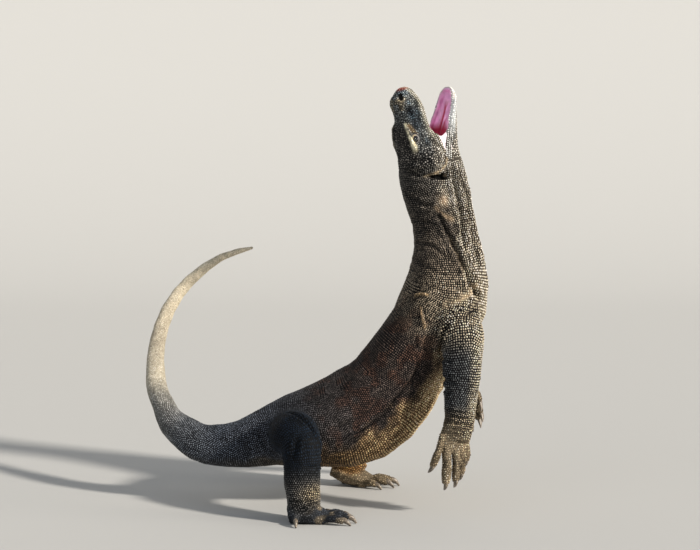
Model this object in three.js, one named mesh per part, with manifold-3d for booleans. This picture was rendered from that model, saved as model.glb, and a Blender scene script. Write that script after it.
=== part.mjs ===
// A life-size komodo dragon rearing on its hind feet: head thrown back with the mouth open,
// forelegs hanging, tail swept back, round to the left and up. Millimetres, +Z up, +X forward, +Y left.
// Each length of the body is a tube along a curve. Where two meet, the later one is cut back to
// leave a thin gap, and the long tubes are parted with thin flat cuts.
import * as THREE from "three";
import Module from "manifold-3d";

const wasm = await Module();
wasm.setup();

// ---- driving dimensions ----
const PART_GAP = 0.4; // clearance between neighbouring pieces
const FLATNESS = 0.3; // corners nearer than this to a flat face are left out
const TRUNK_SIDES = 22; // facets round each kind of tube
const TAIL_SIDES = 12;
const HEAD_SIDES = 18;
const LIMB_SIDES = 12;
const DIGIT_SIDES = 6;
const CLAW_SIDES = 4;
const HEAD_TWIST = 33; // degrees the head is rolled towards its right side
const SKULL_LEAN = 20; // degrees the upper jaw leans back from the vertical
const JAW_LEAN = 14; // degrees the lower jaw leans forward from the vertical
const MOUTH_CORNER = new THREE.Vector3(285, 0, 903);
const EYE_RADIUS = 10;
const EYE_PLACE = [63, 39, 57]; // forward, sideways and up from the corner of the mouth
const CLAW_LENGTH = 25;

const radians = THREE.MathUtils.degToRad;
const vec = (x, y, z) => new THREE.Vector3(x, y, z);

// ---- solids ----
function solid(geometry) {
  const position = geometry.getAttribute("position");
  const vertices = new Float32Array(position.array);
  let faces = Uint32Array.from(geometry.index.array);
  const make = () => {
    const mesh = new wasm.Mesh({ numProp: 3, vertProperties: vertices, triVerts: faces });
    return new wasm.Manifold(mesh);
  };
  let made = make();
  if (made.volume() < 0) {
    faces = faces.map((_, i) => faces[i - (i % 3) + [0, 2, 1][i % 3]]);
    made = make();
  }
  return made;
}

// Merges the doubled corners of a three.js primitive so that it is one closed surface.
function closed(geometry) {
  const at = geometry.getAttribute("position");
  const source = geometry.index ? geometry.index.array : [...Array(at.count).keys()];
  const seen = new Map();
  const points = [];
  const number = (i) => {
    const key = [at.getX(i), at.getY(i), at.getZ(i)].map((v) => Math.round(v * 1000)).join();
    if (!seen.has(key)) {
      seen.set(key, points.length / 3);
      points.push(at.getX(i), at.getY(i), at.getZ(i));
    }
    return seen.get(key);
  };
  const faces = [];
  for (let i = 0; i < source.length; i += 3) {
    const [a, b, c] = [number(source[i]), number(source[i + 1]), number(source[i + 2])];
    if (a !== b && b !== c && c !== a) faces.push(a, b, c);
  }
  return indexed(points, faces);
}

function indexed(points, faces) {
  const geometry = new THREE.BufferGeometry();
  geometry.setAttribute("position", new THREE.Float32BufferAttribute(points, 3));
  geometry.setIndex(Array.from(faces));
  return geometry;
}

// Joins closed rings of points, one after the other, into a tube with a pole at each end.
function tube(rings) {
  const sides = rings[0].length;
  const points = rings.flat().flatMap((p) => [p.x, p.y, p.z]);
  const faces = [];
  const corner = (ring, side) => ring * sides + (side % sides);
  for (let r = 0; r + 1 < rings.length; r++)
    for (let s = 0; s < sides; s++) {
      faces.push(corner(r, s), corner(r + 1, s), corner(r + 1, s + 1));
      faces.push(corner(r, s), corner(r + 1, s + 1), corner(r, s + 1));
    }
  for (const end of [0, rings.length - 1]) {
    const middle = rings[end].reduce((sum, p) => sum.add(p), vec(0, 0, 0)).divideScalar(sides);
    const pole = points.length / 3;
    points.push(middle.x, middle.y, middle.z);
    for (let s = 0; s < sides; s++) {
      if (end) faces.push(corner(end, s), pole, corner(end, s + 1));
      else faces.push(pole, corner(0, s), corner(0, s + 1));
    }
  }
  return indexed(points, faces);
}

const catmullRom = (a, b, c, d, t) =>
  b + 0.5 * t * (c - a + t * (2 * a - 5 * b + 4 * c - d + t * (3 * b - a - 3 * c + d)));

// A smooth curve through every number of a list of equally long rows.
function refine(rows, steps) {
  const out = [];
  const row = (i) => rows[Math.max(0, Math.min(rows.length - 1, i))];
  for (let i = 0; i + 1 < rows.length; i++)
    for (let k = 0; k < steps; k++) {
      const t = k / steps;
      out.push(row(i).map((b, n) => catmullRom(row(i - 1)[n], b, row(i + 1)[n], row(i + 2)[n], t)));
    }
  out.push(rows[rows.length - 1]);
  return out;
}

const endwards = (i, count) => (i === count - 1) - (i === 0);
const bend = (value, power) => Math.sign(value) * Math.abs(value) ** power;

// A fleshy tube along a spine. Each row: x, y, z, half width, height above and depth below the
// spine, and the direction (x, y, z) that its upper side faces. Rows run towards the head.
function fleshTube(rows, { sides, steps = 2, squareness = 1, grow = 0 }) {
  const fine = refine(rows, steps);
  const centre = fine.map(([x, y, z]) => vec(x, y, z));
  return tube(
    fine.map(([, , , width, above, below, ux, uy, uz], i) => {
      const before = centre[Math.max(0, i - 1)];
      const after = centre[Math.min(fine.length - 1, i + 1)];
      const along = after.clone().sub(before).normalize();
      const up = vec(ux, uy, uz).addScaledVector(along, -vec(ux, uy, uz).dot(along)).normalize();
      const side = up.clone().cross(along);
      return Array.from({ length: sides }, (_, s) => {
        const turn = (s / sides) * 2 * Math.PI;
        const high = bend(Math.sin(turn), squareness);
        return centre[i]
          .clone()
          .addScaledVector(along, grow * endwards(i, fine.length))
          .addScaledVector(side, (width + grow) * bend(Math.cos(turn), squareness))
          .addScaledVector(up, high * ((high > 0 ? above : below) + grow));
      });
    }),
  );
}

// A part of the head in its own frame, x forward. Each row: x, top, bottom, half width.
function headTube(rows, { sides, squareness, widest = 0.45, steps = 2, grow = 0 }) {
  return tube(
    refine(rows, steps).map(([x, top, bottom, width], i, all) => {
      const middle = bottom + (top - bottom) * widest;
      return Array.from({ length: sides }, (_, s) => {
        const turn = (s / sides) * 2 * Math.PI;
        const high = bend(Math.sin(turn), squareness);
        const rise = (high > 0 ? top - middle : middle - bottom) + grow;
        const forward = x + grow * endwards(i, all.length);
        return vec(forward, (width + grow) * bend(Math.cos(turn), squareness), middle + high * rise);
      });
    }),
  );
}

// A matrix that puts a piece modelled with x forward and z up at a place.
function frame(origin, forward, up) {
  const x = forward.clone().normalize();
  const z = up.clone().addScaledVector(x, -up.dot(x)).normalize();
  return new THREE.Matrix4().makeBasis(x, z.clone().cross(x), z).setPosition(origin);
}

// ---- trunk, neck and tail ----
const BACK = [-0.7, 0, 0.7]; // the way the back faces, from rump to nape
const TAIL = [
  [-181, 308, 634, 3, 4, 4, -0.3, -0.2, 0.9],
  [-265, 304, 609, 7, 10, 10, -0.5, -0.25, 0.8],
  [-349, 290, 548, 11, 15, 15, -0.65, -0.35, 0.6],
  [-406, 266, 473, 14, 19, 19, -0.8, -0.4, 0.3],
  [-434, 229, 386, 18, 22, 22, -0.88, -0.45, 0],
  [-435, 182, 314, 22, 26, 26, -0.85, -0.5, 0.1],
  [-425, 143, 273, 25, 31, 31, -0.7, -0.6, 0.4],
  [-406, 105, 237, 29, 36, 36, -0.4, -0.6, 0.65],
  [-383, 68, 202, 35, 41, 41, -0.15, -0.4, 0.9],
  [-333, 38, 168, 42, 47, 47, -0.05, -0.15, 1],
  [-288, 26, 151, 48, 52, 52, 0, -0.05, 1],
  [-200, 18, 153, 61, 61, 61, 0, 0, 1],
  [-125, 18, 175, 80, 76, 78, ...BACK],
  [-90, 18, 184, 80, 70, 70, ...BACK],
];
const TRUNK = [
  [-146, 18, 168, 72, 68, 70, ...BACK],
  [-125, 18, 175, 80, 76, 78, ...BACK],
  [-68, 18, 188, 106, 92, 96, ...BACK],
  [-10, 18, 198, 118, 106, 104, ...BACK],
  [47, 18, 213, 128, 115, 124, ...BACK],
  [106, 17, 240, 128, 119, 132, ...BACK],
  [152, 16, 273, 120, 115, 130, ...BACK],
  [189, 15, 311, 113, 113, 124, ...BACK],
  [241, 13, 392, 103, 104, 112, ...BACK],
  [283, 11, 454, 98, 104, 110, ...BACK],
  [317, 9, 529, 96, 108, 115, ...BACK],
  [329, 7, 585, 88, 101, 103, ...BACK],
  [330, 6, 636, 77, 91, 91, ...BACK],
  [325, 5, 684, 69, 81, 82, ...BACK],
  [316, 4, 736, 64, 78, 78, ...BACK],
  [302, 2, 788, 65, 82, 83, ...BACK],
  [291, 1, 831, 67, 84, 83, ...BACK],
  [281, 0, 876, 66, 84, 81, ...BACK],
];
// Rows (whole or between two) at which the tubes are parted, from the tip of the tail or the rump.
const TAIL_CUTS = [2, 4.5, 6.5, 8.5, 10.5];
const TRUNK_CUTS = [4.5, 7.5, 11.5];

// ---- head ----
const twist = radians(HEAD_TWIST);
const towardsNape = vec(-Math.cos(twist), -Math.sin(twist), 0);
const leaning = (degrees) =>
  vec(0, 0, Math.cos(radians(degrees))).addScaledVector(towardsNape, Math.sin(radians(degrees)));
const SKULL = frame(MOUTH_CORNER, leaning(SKULL_LEAN), towardsNape);
const JAW = frame(MOUTH_CORNER, leaning(-JAW_LEAN), towardsNape);
const THROAT = frame(MOUTH_CORNER.clone().add(vec(2, 0, 8)), leaning(4), towardsNape);

const SKULL_ROWS = [
  [-60, 82, -48, 62],
  [-30, 88, -34, 67],
  [0, 88, -12, 65],
  [27, 86, -8, 58],
  [52, 82, -7, 50],
  [75, 76, -5, 44],
  [97, 68, -5, 41],
  [119, 65, -5, 40],
  [139, 66, -4, 38],
  [160, 62, 1, 31],
  [178, 50, 8, 21],
  [187, 36, 19, 8],
];
const JAW_ROWS = [
  [-40, -10, -90, 58],
  [0, 0, -75, 60],
  [27, 0, -61, 55],
  [55, -1, -49, 50],
  [85, -3, -42, 45],
  [112, -5, -36, 40],
  [138, -6, -31, 36],
  [157, -6, -26, 30],
  [169, -7, -20, 21],
  [175, -9, -15, 9],
];
const BROW = [
  [28, 42, 62, 5, 7, 8, 0, 0, 1],
  [46, 40, 68, 7, 7, 9, 0, 0, 1],
  [68, 34, 69, 8, 7, 9, 0, 0, 1],
  [90, 26, 66, 7, 6, 8, 0, 0, 1],
  [106, 19, 63, 4, 4, 5, 0, 0, 1],
];
const LIP_WIDTH = 8;
const MOUTH_DEPTH = 14;
const GULLET = [34, 22, 17]; // half its size across, lengthways and up
const WEB_REACH = 56; // stretched skin at a corner of the mouth: along each lip
const WEB_THICKNESS = 6;

function gullet() {
  return solid(closed(new THREE.SphereGeometry(1, 10, 6)).scale(...GULLET).applyMatrix4(THROAT));
}

function eyeball(side, radius) {
  const [x, y, z] = EYE_PLACE;
  const ball = new THREE.SphereGeometry(radius, 10, 7).translate(x, side * y, z);
  return solid(closed(ball).applyMatrix4(SKULL));
}

function skull(grow) {
  const shape = headTube(SKULL_ROWS, { sides: HEAD_SIDES, squareness: 0.74, widest: 0.34, grow });
  return solid(shape.applyMatrix4(SKULL));
}

// The ridge over an eye.
function brow(side) {
  const rows = BROW.map(([x, y, ...rest]) => [x, side * y, ...rest]);
  return solid(fleshTube(rows, { sides: 6, steps: 1 }).applyMatrix4(SKULL));
}

function jaw(grow) {
  const shape = headTube(JAW_ROWS, { sides: HEAD_SIDES, squareness: 0.75, widest: 0.7, steps: 1, grow });
  return solid(shape.applyMatrix4(JAW));
}

// The hollow that leaves a lip round the floor of the mouth.
function mouthFloor() {
  const rows = JAW_ROWS.slice(1, -1).map(([x, top, , width]) => [
    x - 4,
    top + MOUTH_DEPTH,
    top - MOUTH_DEPTH,
    Math.max(2, width - LIP_WIDTH),
  ]);
  return solid(headTube(rows, { sides: 14, squareness: 1, widest: 0.5, steps: 1 }).applyMatrix4(JAW));
}

// The stretched skin between the lips at a corner of the mouth.
function mouthCorner(side) {
  const lipEnd = (lean, into) => {
    const angle = radians(lean);
    return new THREE.Vector2(WEB_REACH * Math.cos(angle), WEB_REACH * Math.sin(angle) + into);
  };
  const upper = lipEnd(SKULL_LEAN, 8);
  const lower = lipEnd(-JAW_LEAN, -5);
  const outline = new THREE.Shape([new THREE.Vector2(-12, 6), upper]);
  outline.quadraticCurveTo(24, 0, lower.x, lower.y);
  outline.lineTo(-12, -10);
  outline.closePath();
  const settings = { depth: WEB_THICKNESS, bevelEnabled: false, curveSegments: 6 };
  const web = new THREE.ExtrudeGeometry(outline, settings).rotateX(Math.PI / 2);
  web.translate(0, WEB_THICKNESS / 2 + side * 54, 0).rotateZ(-side * radians(10));
  return solid(closed(web).applyMatrix4(frame(MOUTH_CORNER, vec(0, 0, 1), towardsNape)));
}

// ---- limbs ----
// Shoulder or hip first; the last row but one is inside the hand or foot.
const LEG = {
  right: [
    [-70, -20, 190, 52, 58, 58, 0, 0, 1],
    [-66, -90, 200, 60, 62, 60, 0, 0, 1],
    [-52, -150, 206, 60, 58, 58, 0.2, 0, 1],
    [-38, -190, 184, 52, 48, 51, 0.5, 0, 0.7],
    [-37, -202, 134, 45, 45, 45, 1, 0, 0],
    [-37, -206, 88, 42, 45, 44, 1, 0, 0],
    [-35, -208, 44, 38, 44, 40, 1, 0, 0],
    [-30, -208, 20, 32, 38, 38, 1, 0, 0],
  ],
  left: [
    [-60, 50, 190, 52, 58, 58, 0, 0, 1],
    [-48, 108, 200, 60, 62, 60, 0, 0, 1],
    [-8, 158, 206, 58, 56, 56, 0.2, 0, 1],
    [26, 194, 176, 50, 50, 50, 0.6, 0, 0.7],
    [46, 212, 128, 44, 44, 45, 1, 0, 0.4],
    [66, 220, 86, 37, 38, 38, 1, 0, 0.5],
    [88, 224, 56, 32, 32, 34, 1, 0, 0.8],
    [110, 224, 36, 28, 26, 28, 0.7, 0, 1],
  ],
};
const ARM = {
  right: [
    [318, -20, 520, 50, 60, 60, 1, 0, 0],
    [350, -62, 488, 50, 62, 58, 1, 0, 0],
    [361, -92, 445, 47, 57, 56, 1, 0, 0],
    [361, -112, 400, 44, 51, 49, 1, 0, 0],
    [360, -124, 350, 42, 47, 47, 1, 0, 0],
    [356, -130, 300, 38, 45, 43, 1, 0, 0],
    [354, -133, 252, 33, 41, 39, 1, 0, 0],
    [350, -134, 222, 28, 40, 38, 1, 0, 0],
    [344, -134, 196, 22, 38, 36, 1, 0, 0],
  ],
  left: [
    [310, 40, 520, 48, 58, 58, 1, 0, 0],
    [322, 78, 484, 48, 54, 54, 1, 0, 0],
    [314, 104, 446, 44, 48, 48, 1, 0, 0],
    [302, 122, 408, 41, 44, 44, 1, 0, 0.2],
    [308, 132, 366, 38, 42, 42, 1, 0, 0.4],
    [326, 144, 330, 33, 37, 37, 1, 0, 0.5],
    [346, 156, 304, 27, 32, 32, 1, 0, 0.5],
    [360, 162, 286, 22, 29, 29, 1, 0, 0.5],
  ],
};
// Rows at which a leg is parted at the knee and ankle, and an arm at the elbow and wrist.
const LEG_CUTS = [3, 5.7];
const ARM_CUTS = { right: [3.8, 7.3], left: [3.2, 6.2] };

// A hand or foot in its own frame: x towards the toes, z the upper side, y outwards.
// Each digit: place of its root, splay in degrees, length, thickness and rise above the others.
const FOOT = {
  sole: [
    [-42, 0, 20, 26, 22, 24],
    [-22, 0, 24, 36, 32, 28],
    [6, -1, 22, 39, 32, 26],
    [32, -1, 17, 36, 25, 20],
    [52, -1, 14, 28, 16, 16],
  ],
  digits: [
    { root: [30, -29], splay: -20, length: 42, girth: 9, lift: 0 },
    { root: [42, -14], splay: -9, length: 56, girth: 9.5, lift: 3 },
    { root: [46, 4], splay: 2, length: 62, girth: 10, lift: 3 },
    { root: [38, 20], splay: 13, length: 60, girth: 10, lift: 0 },
    { root: [-24, 24], splay: 84, length: 28, girth: 10, lift: 0 },
  ],
  height: (t) => 9 + 9 * Math.sin(Math.max(0, t) * 2.9),
  curl: 0.65,
};
const RAISED_HEEL = [
  [-54, 0, 48, 24, 22, 22],
  [-30, 0, 40, 32, 27, 27],
  [-2, -1, 29, 36, 28, 27],
  [28, -1, 19, 35, 25, 22],
  [50, -1, 14, 28, 16, 16],
];
const HAND = {
  sole: [
    [-34, -5, 0, 31, 22, 22],
    [-12, -6, 0, 39, 20, 20],
    [8, -6, 0, 41, 17, 17],
    [27, -9, -1, 33, 11, 12],
  ],
  digits: [
    { root: [10, -40], splay: 1, length: 44, girth: 8, lift: -7 },
    { root: [20, -26], splay: 1, length: 66, girth: 9, lift: -4 },
    { root: [22, -9], splay: 0, length: 80, girth: 10, lift: 0 },
    { root: [18, 16], splay: 1, length: 88, girth: 11.5, lift: 3 },
    { root: [-4, 30], splay: 19, length: 68, girth: 9, lift: 4 },
  ],
  height: (t) => 3 + 6 * Math.sin(Math.max(0, t) * 3) - 6 * t * t,
  curl: 0.75,
};
const PLACES = {
  right_foot: frame(vec(-30, -210, 0), vec(1, -0.03, 0), vec(0, 0, 1)),
  left_foot: frame(vec(86, 226, 0), vec(1, -0.1, 0), vec(0, 0, 1)),
  right_hand: frame(vec(335, -134, 190), vec(0.02, 0, -1), vec(0.25, -1, 0)),
  left_hand: frame(vec(366, 164, 275), vec(0.48, 0.2, -0.86), vec(0.3, 1, 0.3)),
};
const PAWS = {
  right_foot: { ...FOOT, side: -1, place: PLACES.right_foot },
  left_foot: { ...FOOT, sole: RAISED_HEEL, side: 1, place: PLACES.left_foot },
  right_hand: { ...HAND, side: -1, place: PLACES.right_hand },
  left_hand: { ...HAND, side: 1, place: PLACES.left_hand },
};

function digitPath({ root, splay, length, lift }, paw) {
  const angle = radians(splay);
  return (t) =>
    vec(
      root[0] + Math.cos(angle) * length * t,
      paw.side * (root[1] + Math.sin(angle) * length * t),
      paw.height(t) + lift,
    );
}

function toe(digit, paw, grow) {
  const at = digitPath(digit, paw);
  const thickness = { "-0.25": 1.1, 0: 1.05, 0.3: 1, 0.58: 1.1, 0.85: 0.98, 1: 0.72 };
  const rows = [-0.25, 0, 0.3, 0.58, 0.85, 1].map((t) => {
    const radius = digit.girth * thickness[t];
    return [...at(t).toArray(), radius * 0.92, radius, radius, 0, 0, 1];
  });
  return solid(fleshTube(rows, { sides: DIGIT_SIDES, steps: 1, grow }).applyMatrix4(paw.place));
}

function claw(digit, paw) {
  const at = digitPath(digit, paw);
  const ahead = at(1).sub(at(0.85)).normalize();
  const thickness = { "-0.3": 5.8, 0.3: 5.2, 0.7: 3.4, 1: 0.9 };
  const rows = [-0.3, 0.3, 0.7, 1].map((t) => {
    const along = (CLAW_LENGTH * Math.sin(t * paw.curl)) / paw.curl;
    const down = (CLAW_LENGTH * (1 - Math.cos(t * paw.curl))) / paw.curl;
    const place = at(1).addScaledVector(ahead, along).add(vec(0, 0, -down));
    return [...place.toArray(), thickness[t] * 0.75, thickness[t], thickness[t], 0, 0, 1];
  });
  return solid(fleshTube(rows, { sides: CLAW_SIDES, steps: 1 }).applyMatrix4(paw.place));
}

function palm(paw, grow) {
  const rows = paw.sole.map(([x, y, ...rest]) => [x, paw.side * y, ...rest, 0, 0, 1]);
  return solid(fleshTube(rows, { sides: LIMB_SIDES - 2, steps: 1, grow }).applyMatrix4(paw.place));
}

// ---- parting ----
const dragon = new THREE.Group();
dragon.name = "komodo_dragon";
const FLESH = 0x6b6054;
const taken = []; // every piece so far, grown by the gap

function keep(name, piece, color = FLESH) {
  const biggest = piece.decompose().reduce((a, b) => (b.volume() > a.volume() ? b : a));
  const { vertProperties, triVerts } = biggest.simplify(FLATNESS).getMesh();
  const mesh = new THREE.Mesh(
    indexed(vertProperties, triVerts),
    new THREE.MeshStandardMaterial({ color, roughness: 0.8 }),
  );
  mesh.name = name;
  dragon.add(mesh);
}

const clear = (piece) => taken.reduce((left, other) => left.subtract(other), piece);
const FLOOR = solid(closed(new THREE.BoxGeometry(3000, 3000, 100)).translate(0, 0, -50));

// Parts a tube at the given rows and names the lengths in order along it.
// The last length is trimmed once more, where it has to meet another tube.
function part(rows, cuts, tubeSolid, names, trimLast = (last) => last) {
  let rest = tubeSolid;
  const at = (row) => {
    const low = Math.floor(row);
    const a = vec(...rows[low]);
    const b = vec(...rows[Math.min(rows.length - 1, low + 1)]);
    const before = vec(...rows[Math.max(0, low - 1)]);
    const along = b.clone().sub(row > low ? a : before).normalize();
    return { middle: a.clone().lerp(b, row - low), along };
  };
  cuts.forEach((row, i) => {
    const { middle, along } = at(row);
    const offset = middle.dot(along);
    keep(names[i], rest.trimByPlane(along.clone().negate().toArray(), -offset + PART_GAP / 2));
    rest = rest.trimByPlane(along.toArray(), offset + PART_GAP / 2);
  });
  keep(names[cuts.length], trimLast(rest));
}

const eyes = { right: -1, left: 1 };
for (const [name, side] of Object.entries(eyes)) {
  keep(`${name}_eye`, eyeball(side, EYE_RADIUS), 0x2a1c10);
}
const sockets = eyeball(-1, EYE_RADIUS + PART_GAP).add(eyeball(1, EYE_RADIUS + PART_GAP));

const trunk = (grow) => solid(fleshTube(TRUNK, { sides: TRUNK_SIDES, steps: 1, grow }));
const nape = vec(...TRUNK[TRUNK.length - 1]);
const neckwards = nape.clone().sub(vec(...TRUNK[TRUNK.length - 2])).normalize();
const aboveNeck = (piece) => piece.trimByPlane(neckwards.toArray(), nape.dot(neckwards) + PART_GAP);
keep("head", aboveNeck(skull(0)).add(brow(-1)).add(brow(1)).subtract(sockets).subtract(gullet()));
const rump = vec(...TRUNK[1]);
const rumpwards = vec(...TRUNK[0]).sub(vec(...TRUNK[2])).normalize();
const forwards = rumpwards.clone().negate();
const aheadOfRump = trunk(0).trimByPlane(forwards.toArray(), PART_GAP + rump.dot(forwards));
part(TRUNK, TRUNK_CUTS, aheadOfRump, ["pelvis", "belly", "chest", "neck"]);
taken.push(skull(PART_GAP), trunk(PART_GAP));
keep("lower_jaw", aboveNeck(jaw(0)).subtract(skull(PART_GAP)).subtract(mouthFloor()).subtract(gullet()));
taken.push(jaw(PART_GAP));
for (const [name, side] of Object.entries(eyes)) {
  keep(`${name}_mouth_corner`, clear(mouthCorner(side)), 0xd8b8a8);
}

const tail = solid(fleshTube(TAIL, { sides: TAIL_SIDES }));
const TAIL_NAMES = ["tail_6", "tail_5", "tail_4", "tail_3", "tail_2", "tail_1"];
const behindRump = (root) => root.trimByPlane(rumpwards.toArray(), rump.dot(rumpwards));
part(TAIL, TAIL_CUTS, tail, TAIL_NAMES, behindRump);

function limb(rows, cuts, pawName, names) {
  const paw = PAWS[pawName];
  const toes = paw.digits.map((digit) => toe(digit, paw, 0));
  const grownToes = paw.digits.map((digit) => toe(digit, paw, PART_GAP));
  paw.digits.forEach((digit, i) => {
    const cut = grownToes[i].add(palm(paw, PART_GAP)).add(FLOOR);
    keep(`${pawName}_claw_${i + 1}`, claw(digit, paw).subtract(cut), 0x2c2a28);
  });
  const flesh = toes.reduce((sum, one) => sum.add(one), palm(paw, 0));
  const whole = solid(fleshTube(rows, { sides: LIMB_SIDES, steps: 1 })).add(flesh);
  part(rows, cuts, clear(whole).subtract(FLOOR), [...names, pawName]);
}

for (const side of ["right", "left"]) {
  limb(LEG[side], LEG_CUTS, `${side}_foot`, [`${side}_thigh`, `${side}_shank`]);
  limb(ARM[side], ARM_CUTS[side], `${side}_hand`, [`${side}_upper_arm`, `${side}_forearm`]);
}

// The floor is z = 0; x and y are measured from the middle of the whole.
const middle = new THREE.Box3().setFromObject(dragon).getCenter(vec(0, 0, 0));
dragon.position.set(-middle.x, -middle.y, 0);

export default dragon;
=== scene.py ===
import math

import bpy
import numpy as np
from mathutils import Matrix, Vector
from mathutils.bvhtree import BVHTree
from mathutils.kdtree import KDTree


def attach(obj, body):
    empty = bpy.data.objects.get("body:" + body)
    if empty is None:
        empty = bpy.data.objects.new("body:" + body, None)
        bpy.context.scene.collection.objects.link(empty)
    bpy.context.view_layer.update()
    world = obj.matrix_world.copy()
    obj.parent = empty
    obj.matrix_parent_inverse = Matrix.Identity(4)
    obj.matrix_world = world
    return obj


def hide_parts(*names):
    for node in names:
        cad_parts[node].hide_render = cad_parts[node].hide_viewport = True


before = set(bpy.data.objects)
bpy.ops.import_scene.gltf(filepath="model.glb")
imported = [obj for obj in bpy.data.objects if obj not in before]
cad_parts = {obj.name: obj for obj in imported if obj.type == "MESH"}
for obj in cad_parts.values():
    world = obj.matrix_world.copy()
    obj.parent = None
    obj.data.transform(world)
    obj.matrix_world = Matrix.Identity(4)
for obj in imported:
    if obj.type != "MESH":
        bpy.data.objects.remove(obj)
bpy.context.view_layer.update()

mm = 0.001


def makeActive(piece):
    bpy.ops.object.select_all(action="DESELECT")
    piece.select_set(True)
    bpy.context.view_layer.objects.active = piece


def addObject(name, data):
    piece = bpy.data.objects.new(name, data)
    bpy.context.scene.collection.objects.link(piece)
    makeActive(piece)
    return piece


def editAll(step, **settings):
    # an operator in edit mode, on all of the active piece
    bpy.ops.object.mode_set(mode="EDIT")
    bpy.ops.mesh.select_all(action="SELECT")
    step(**settings)
    bpy.ops.object.mode_set(mode="OBJECT")


def unit(v):
    v = np.asarray(v, float)
    return v / np.maximum(np.linalg.norm(v, axis=-1, keepdims=True), 1e-12)


def smoothStep(low, high, value):
    t = np.clip((value - low) / (high - low), 0, 1)
    return t * t * (3 - 2 * t)


def linear(rgb):
    c = np.asarray(rgb, float) / 255
    return np.where(c <= 0.04045, c / 12.92, ((c + 0.055) / 1.055) ** 2.4)


def blend(colour, tint, amount, dim=1):
    # moves colours towards a tint, in place
    colour += (linear(tint) * dim - colour) * amount[:, None]
    return colour


def readOff(at, stations, table):
    # every column of a table, at places between its stations
    return np.array([np.interp(at, stations, column) for column in table.T]).T


def lengthAlong(path):
    return np.concatenate([[0], np.cumsum(np.linalg.norm(np.diff(path, axis=0), axis=1))])


def insideBox(points, low, high):
    return np.where(((points > low) & (points < high)).all(1))[0]


def lumps(points, size, seed):
    # soft noise between 0 and 1: random values on a lattice, blended between its corners
    grid = np.asarray(points) / size
    cell = np.floor(grid).astype(np.int64)
    part = grid - cell
    part = part * part * (3 - 2 * part)
    total = np.zeros(len(grid))
    for corner in range(8):
        step = np.array([corner & 1, corner >> 1 & 1, corner >> 2 & 1])
        key = (cell + step) @ np.array([73856093, 19349663, 83492791]) + seed * 2654435761
        key = (key ^ (key >> 13)) * 1274126177 & 0xFFFFFFFF
        value = ((key ^ (key >> 16)) & 0xFFFF) / 65535
        total += value * np.where(step, part, 1 - part).prod(1)
    return total


# the head's own two frames: skull and lower jaw, hinged at the corner of the mouth, in degrees and mm
headPose = {"twist": 33, "skullLean": 20, "jawLean": 14, "mouthCorner": (285, 0, 903)}
twist = math.radians(headPose["twist"])
napeWay = np.array([-math.cos(twist), -math.sin(twist), 0.0])


def leaning(degrees):
    a = math.radians(degrees)
    return np.array([0, 0, math.cos(a)]) + math.sin(a) * napeWay


def localFrame(origin, forward, up):
    x = unit(forward)
    z = unit(up - x * (up @ x))
    return {"origin": np.asarray(origin, float), "axes": np.array([x, np.cross(z, x), z])}


def placed(local, place):
    return place["origin"] + np.atleast_2d(local) @ place["axes"]


def seenFrom(points, place):
    return (np.asarray(points) - place["origin"]) @ place["axes"].T


mouthCorner = np.array(headPose["mouthCorner"]) * mm
skull = localFrame(mouthCorner, leaning(headPose["skullLean"]), napeWay)
jaw = localFrame(mouthCorner, leaning(-headPose["jawLean"]), napeWay)
eyePlace = {"right": (63, -39, 57), "left": (63, 39, 57)}

# the frame's origin is under the middle of the whole, and the places below are drawn from the rump
eyeMiddle = np.mean([v.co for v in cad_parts["right_eye"].data.vertices], axis=0)
shift = eyeMiddle - placed(np.array(eyePlace["right"]) * mm, skull)[0]
for place in (skull, jaw):
    place["origin"] = place["origin"] + shift
print("drawing frame set")

# centre lines in mm: x, y, z, reach of the flesh, and the way the upper side faces; tail tip first
back = (-0.7, 0, 0.7)
bodyRows = [
    (-181, 308, 634, 4, -0.3, -0.2, 0.9), (-265, 304, 609, 10, -0.5, -0.25, 0.8),
    (-349, 290, 548, 15, -0.65, -0.35, 0.6), (-406, 266, 473, 19, -0.8, -0.4, 0.3),
    (-434, 229, 386, 22, -0.88, -0.45, 0), (-435, 182, 314, 26, -0.85, -0.5, 0.1),
    (-425, 143, 273, 31, -0.7, -0.6, 0.4), (-406, 105, 237, 36, -0.4, -0.6, 0.65),
    (-383, 68, 202, 41, -0.15, -0.4, 0.9), (-333, 38, 168, 47, -0.05, -0.15, 1),
    (-288, 26, 151, 52, 0, -0.05, 1), (-200, 18, 153, 61, 0, 0, 1),
    (-125, 18, 175, 80, *back), (-68, 18, 188, 106, *back), (-10, 18, 198, 118, *back),
    (47, 18, 213, 128, *back), (106, 17, 240, 130, *back), (152, 16, 273, 130, *back),
    (189, 15, 311, 124, *back), (241, 13, 392, 112, *back), (283, 11, 454, 108, *back),
    (317, 9, 529, 108, *back), (329, 7, 585, 103, *back), (330, 6, 636, 91, *back),
    (325, 5, 684, 82, *back), (316, 4, 736, 79, *back), (302, 2, 788, 82, *back),
    (291, 1, 831, 84, *back), (281, 0, 876, 82, *back),
]
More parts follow.
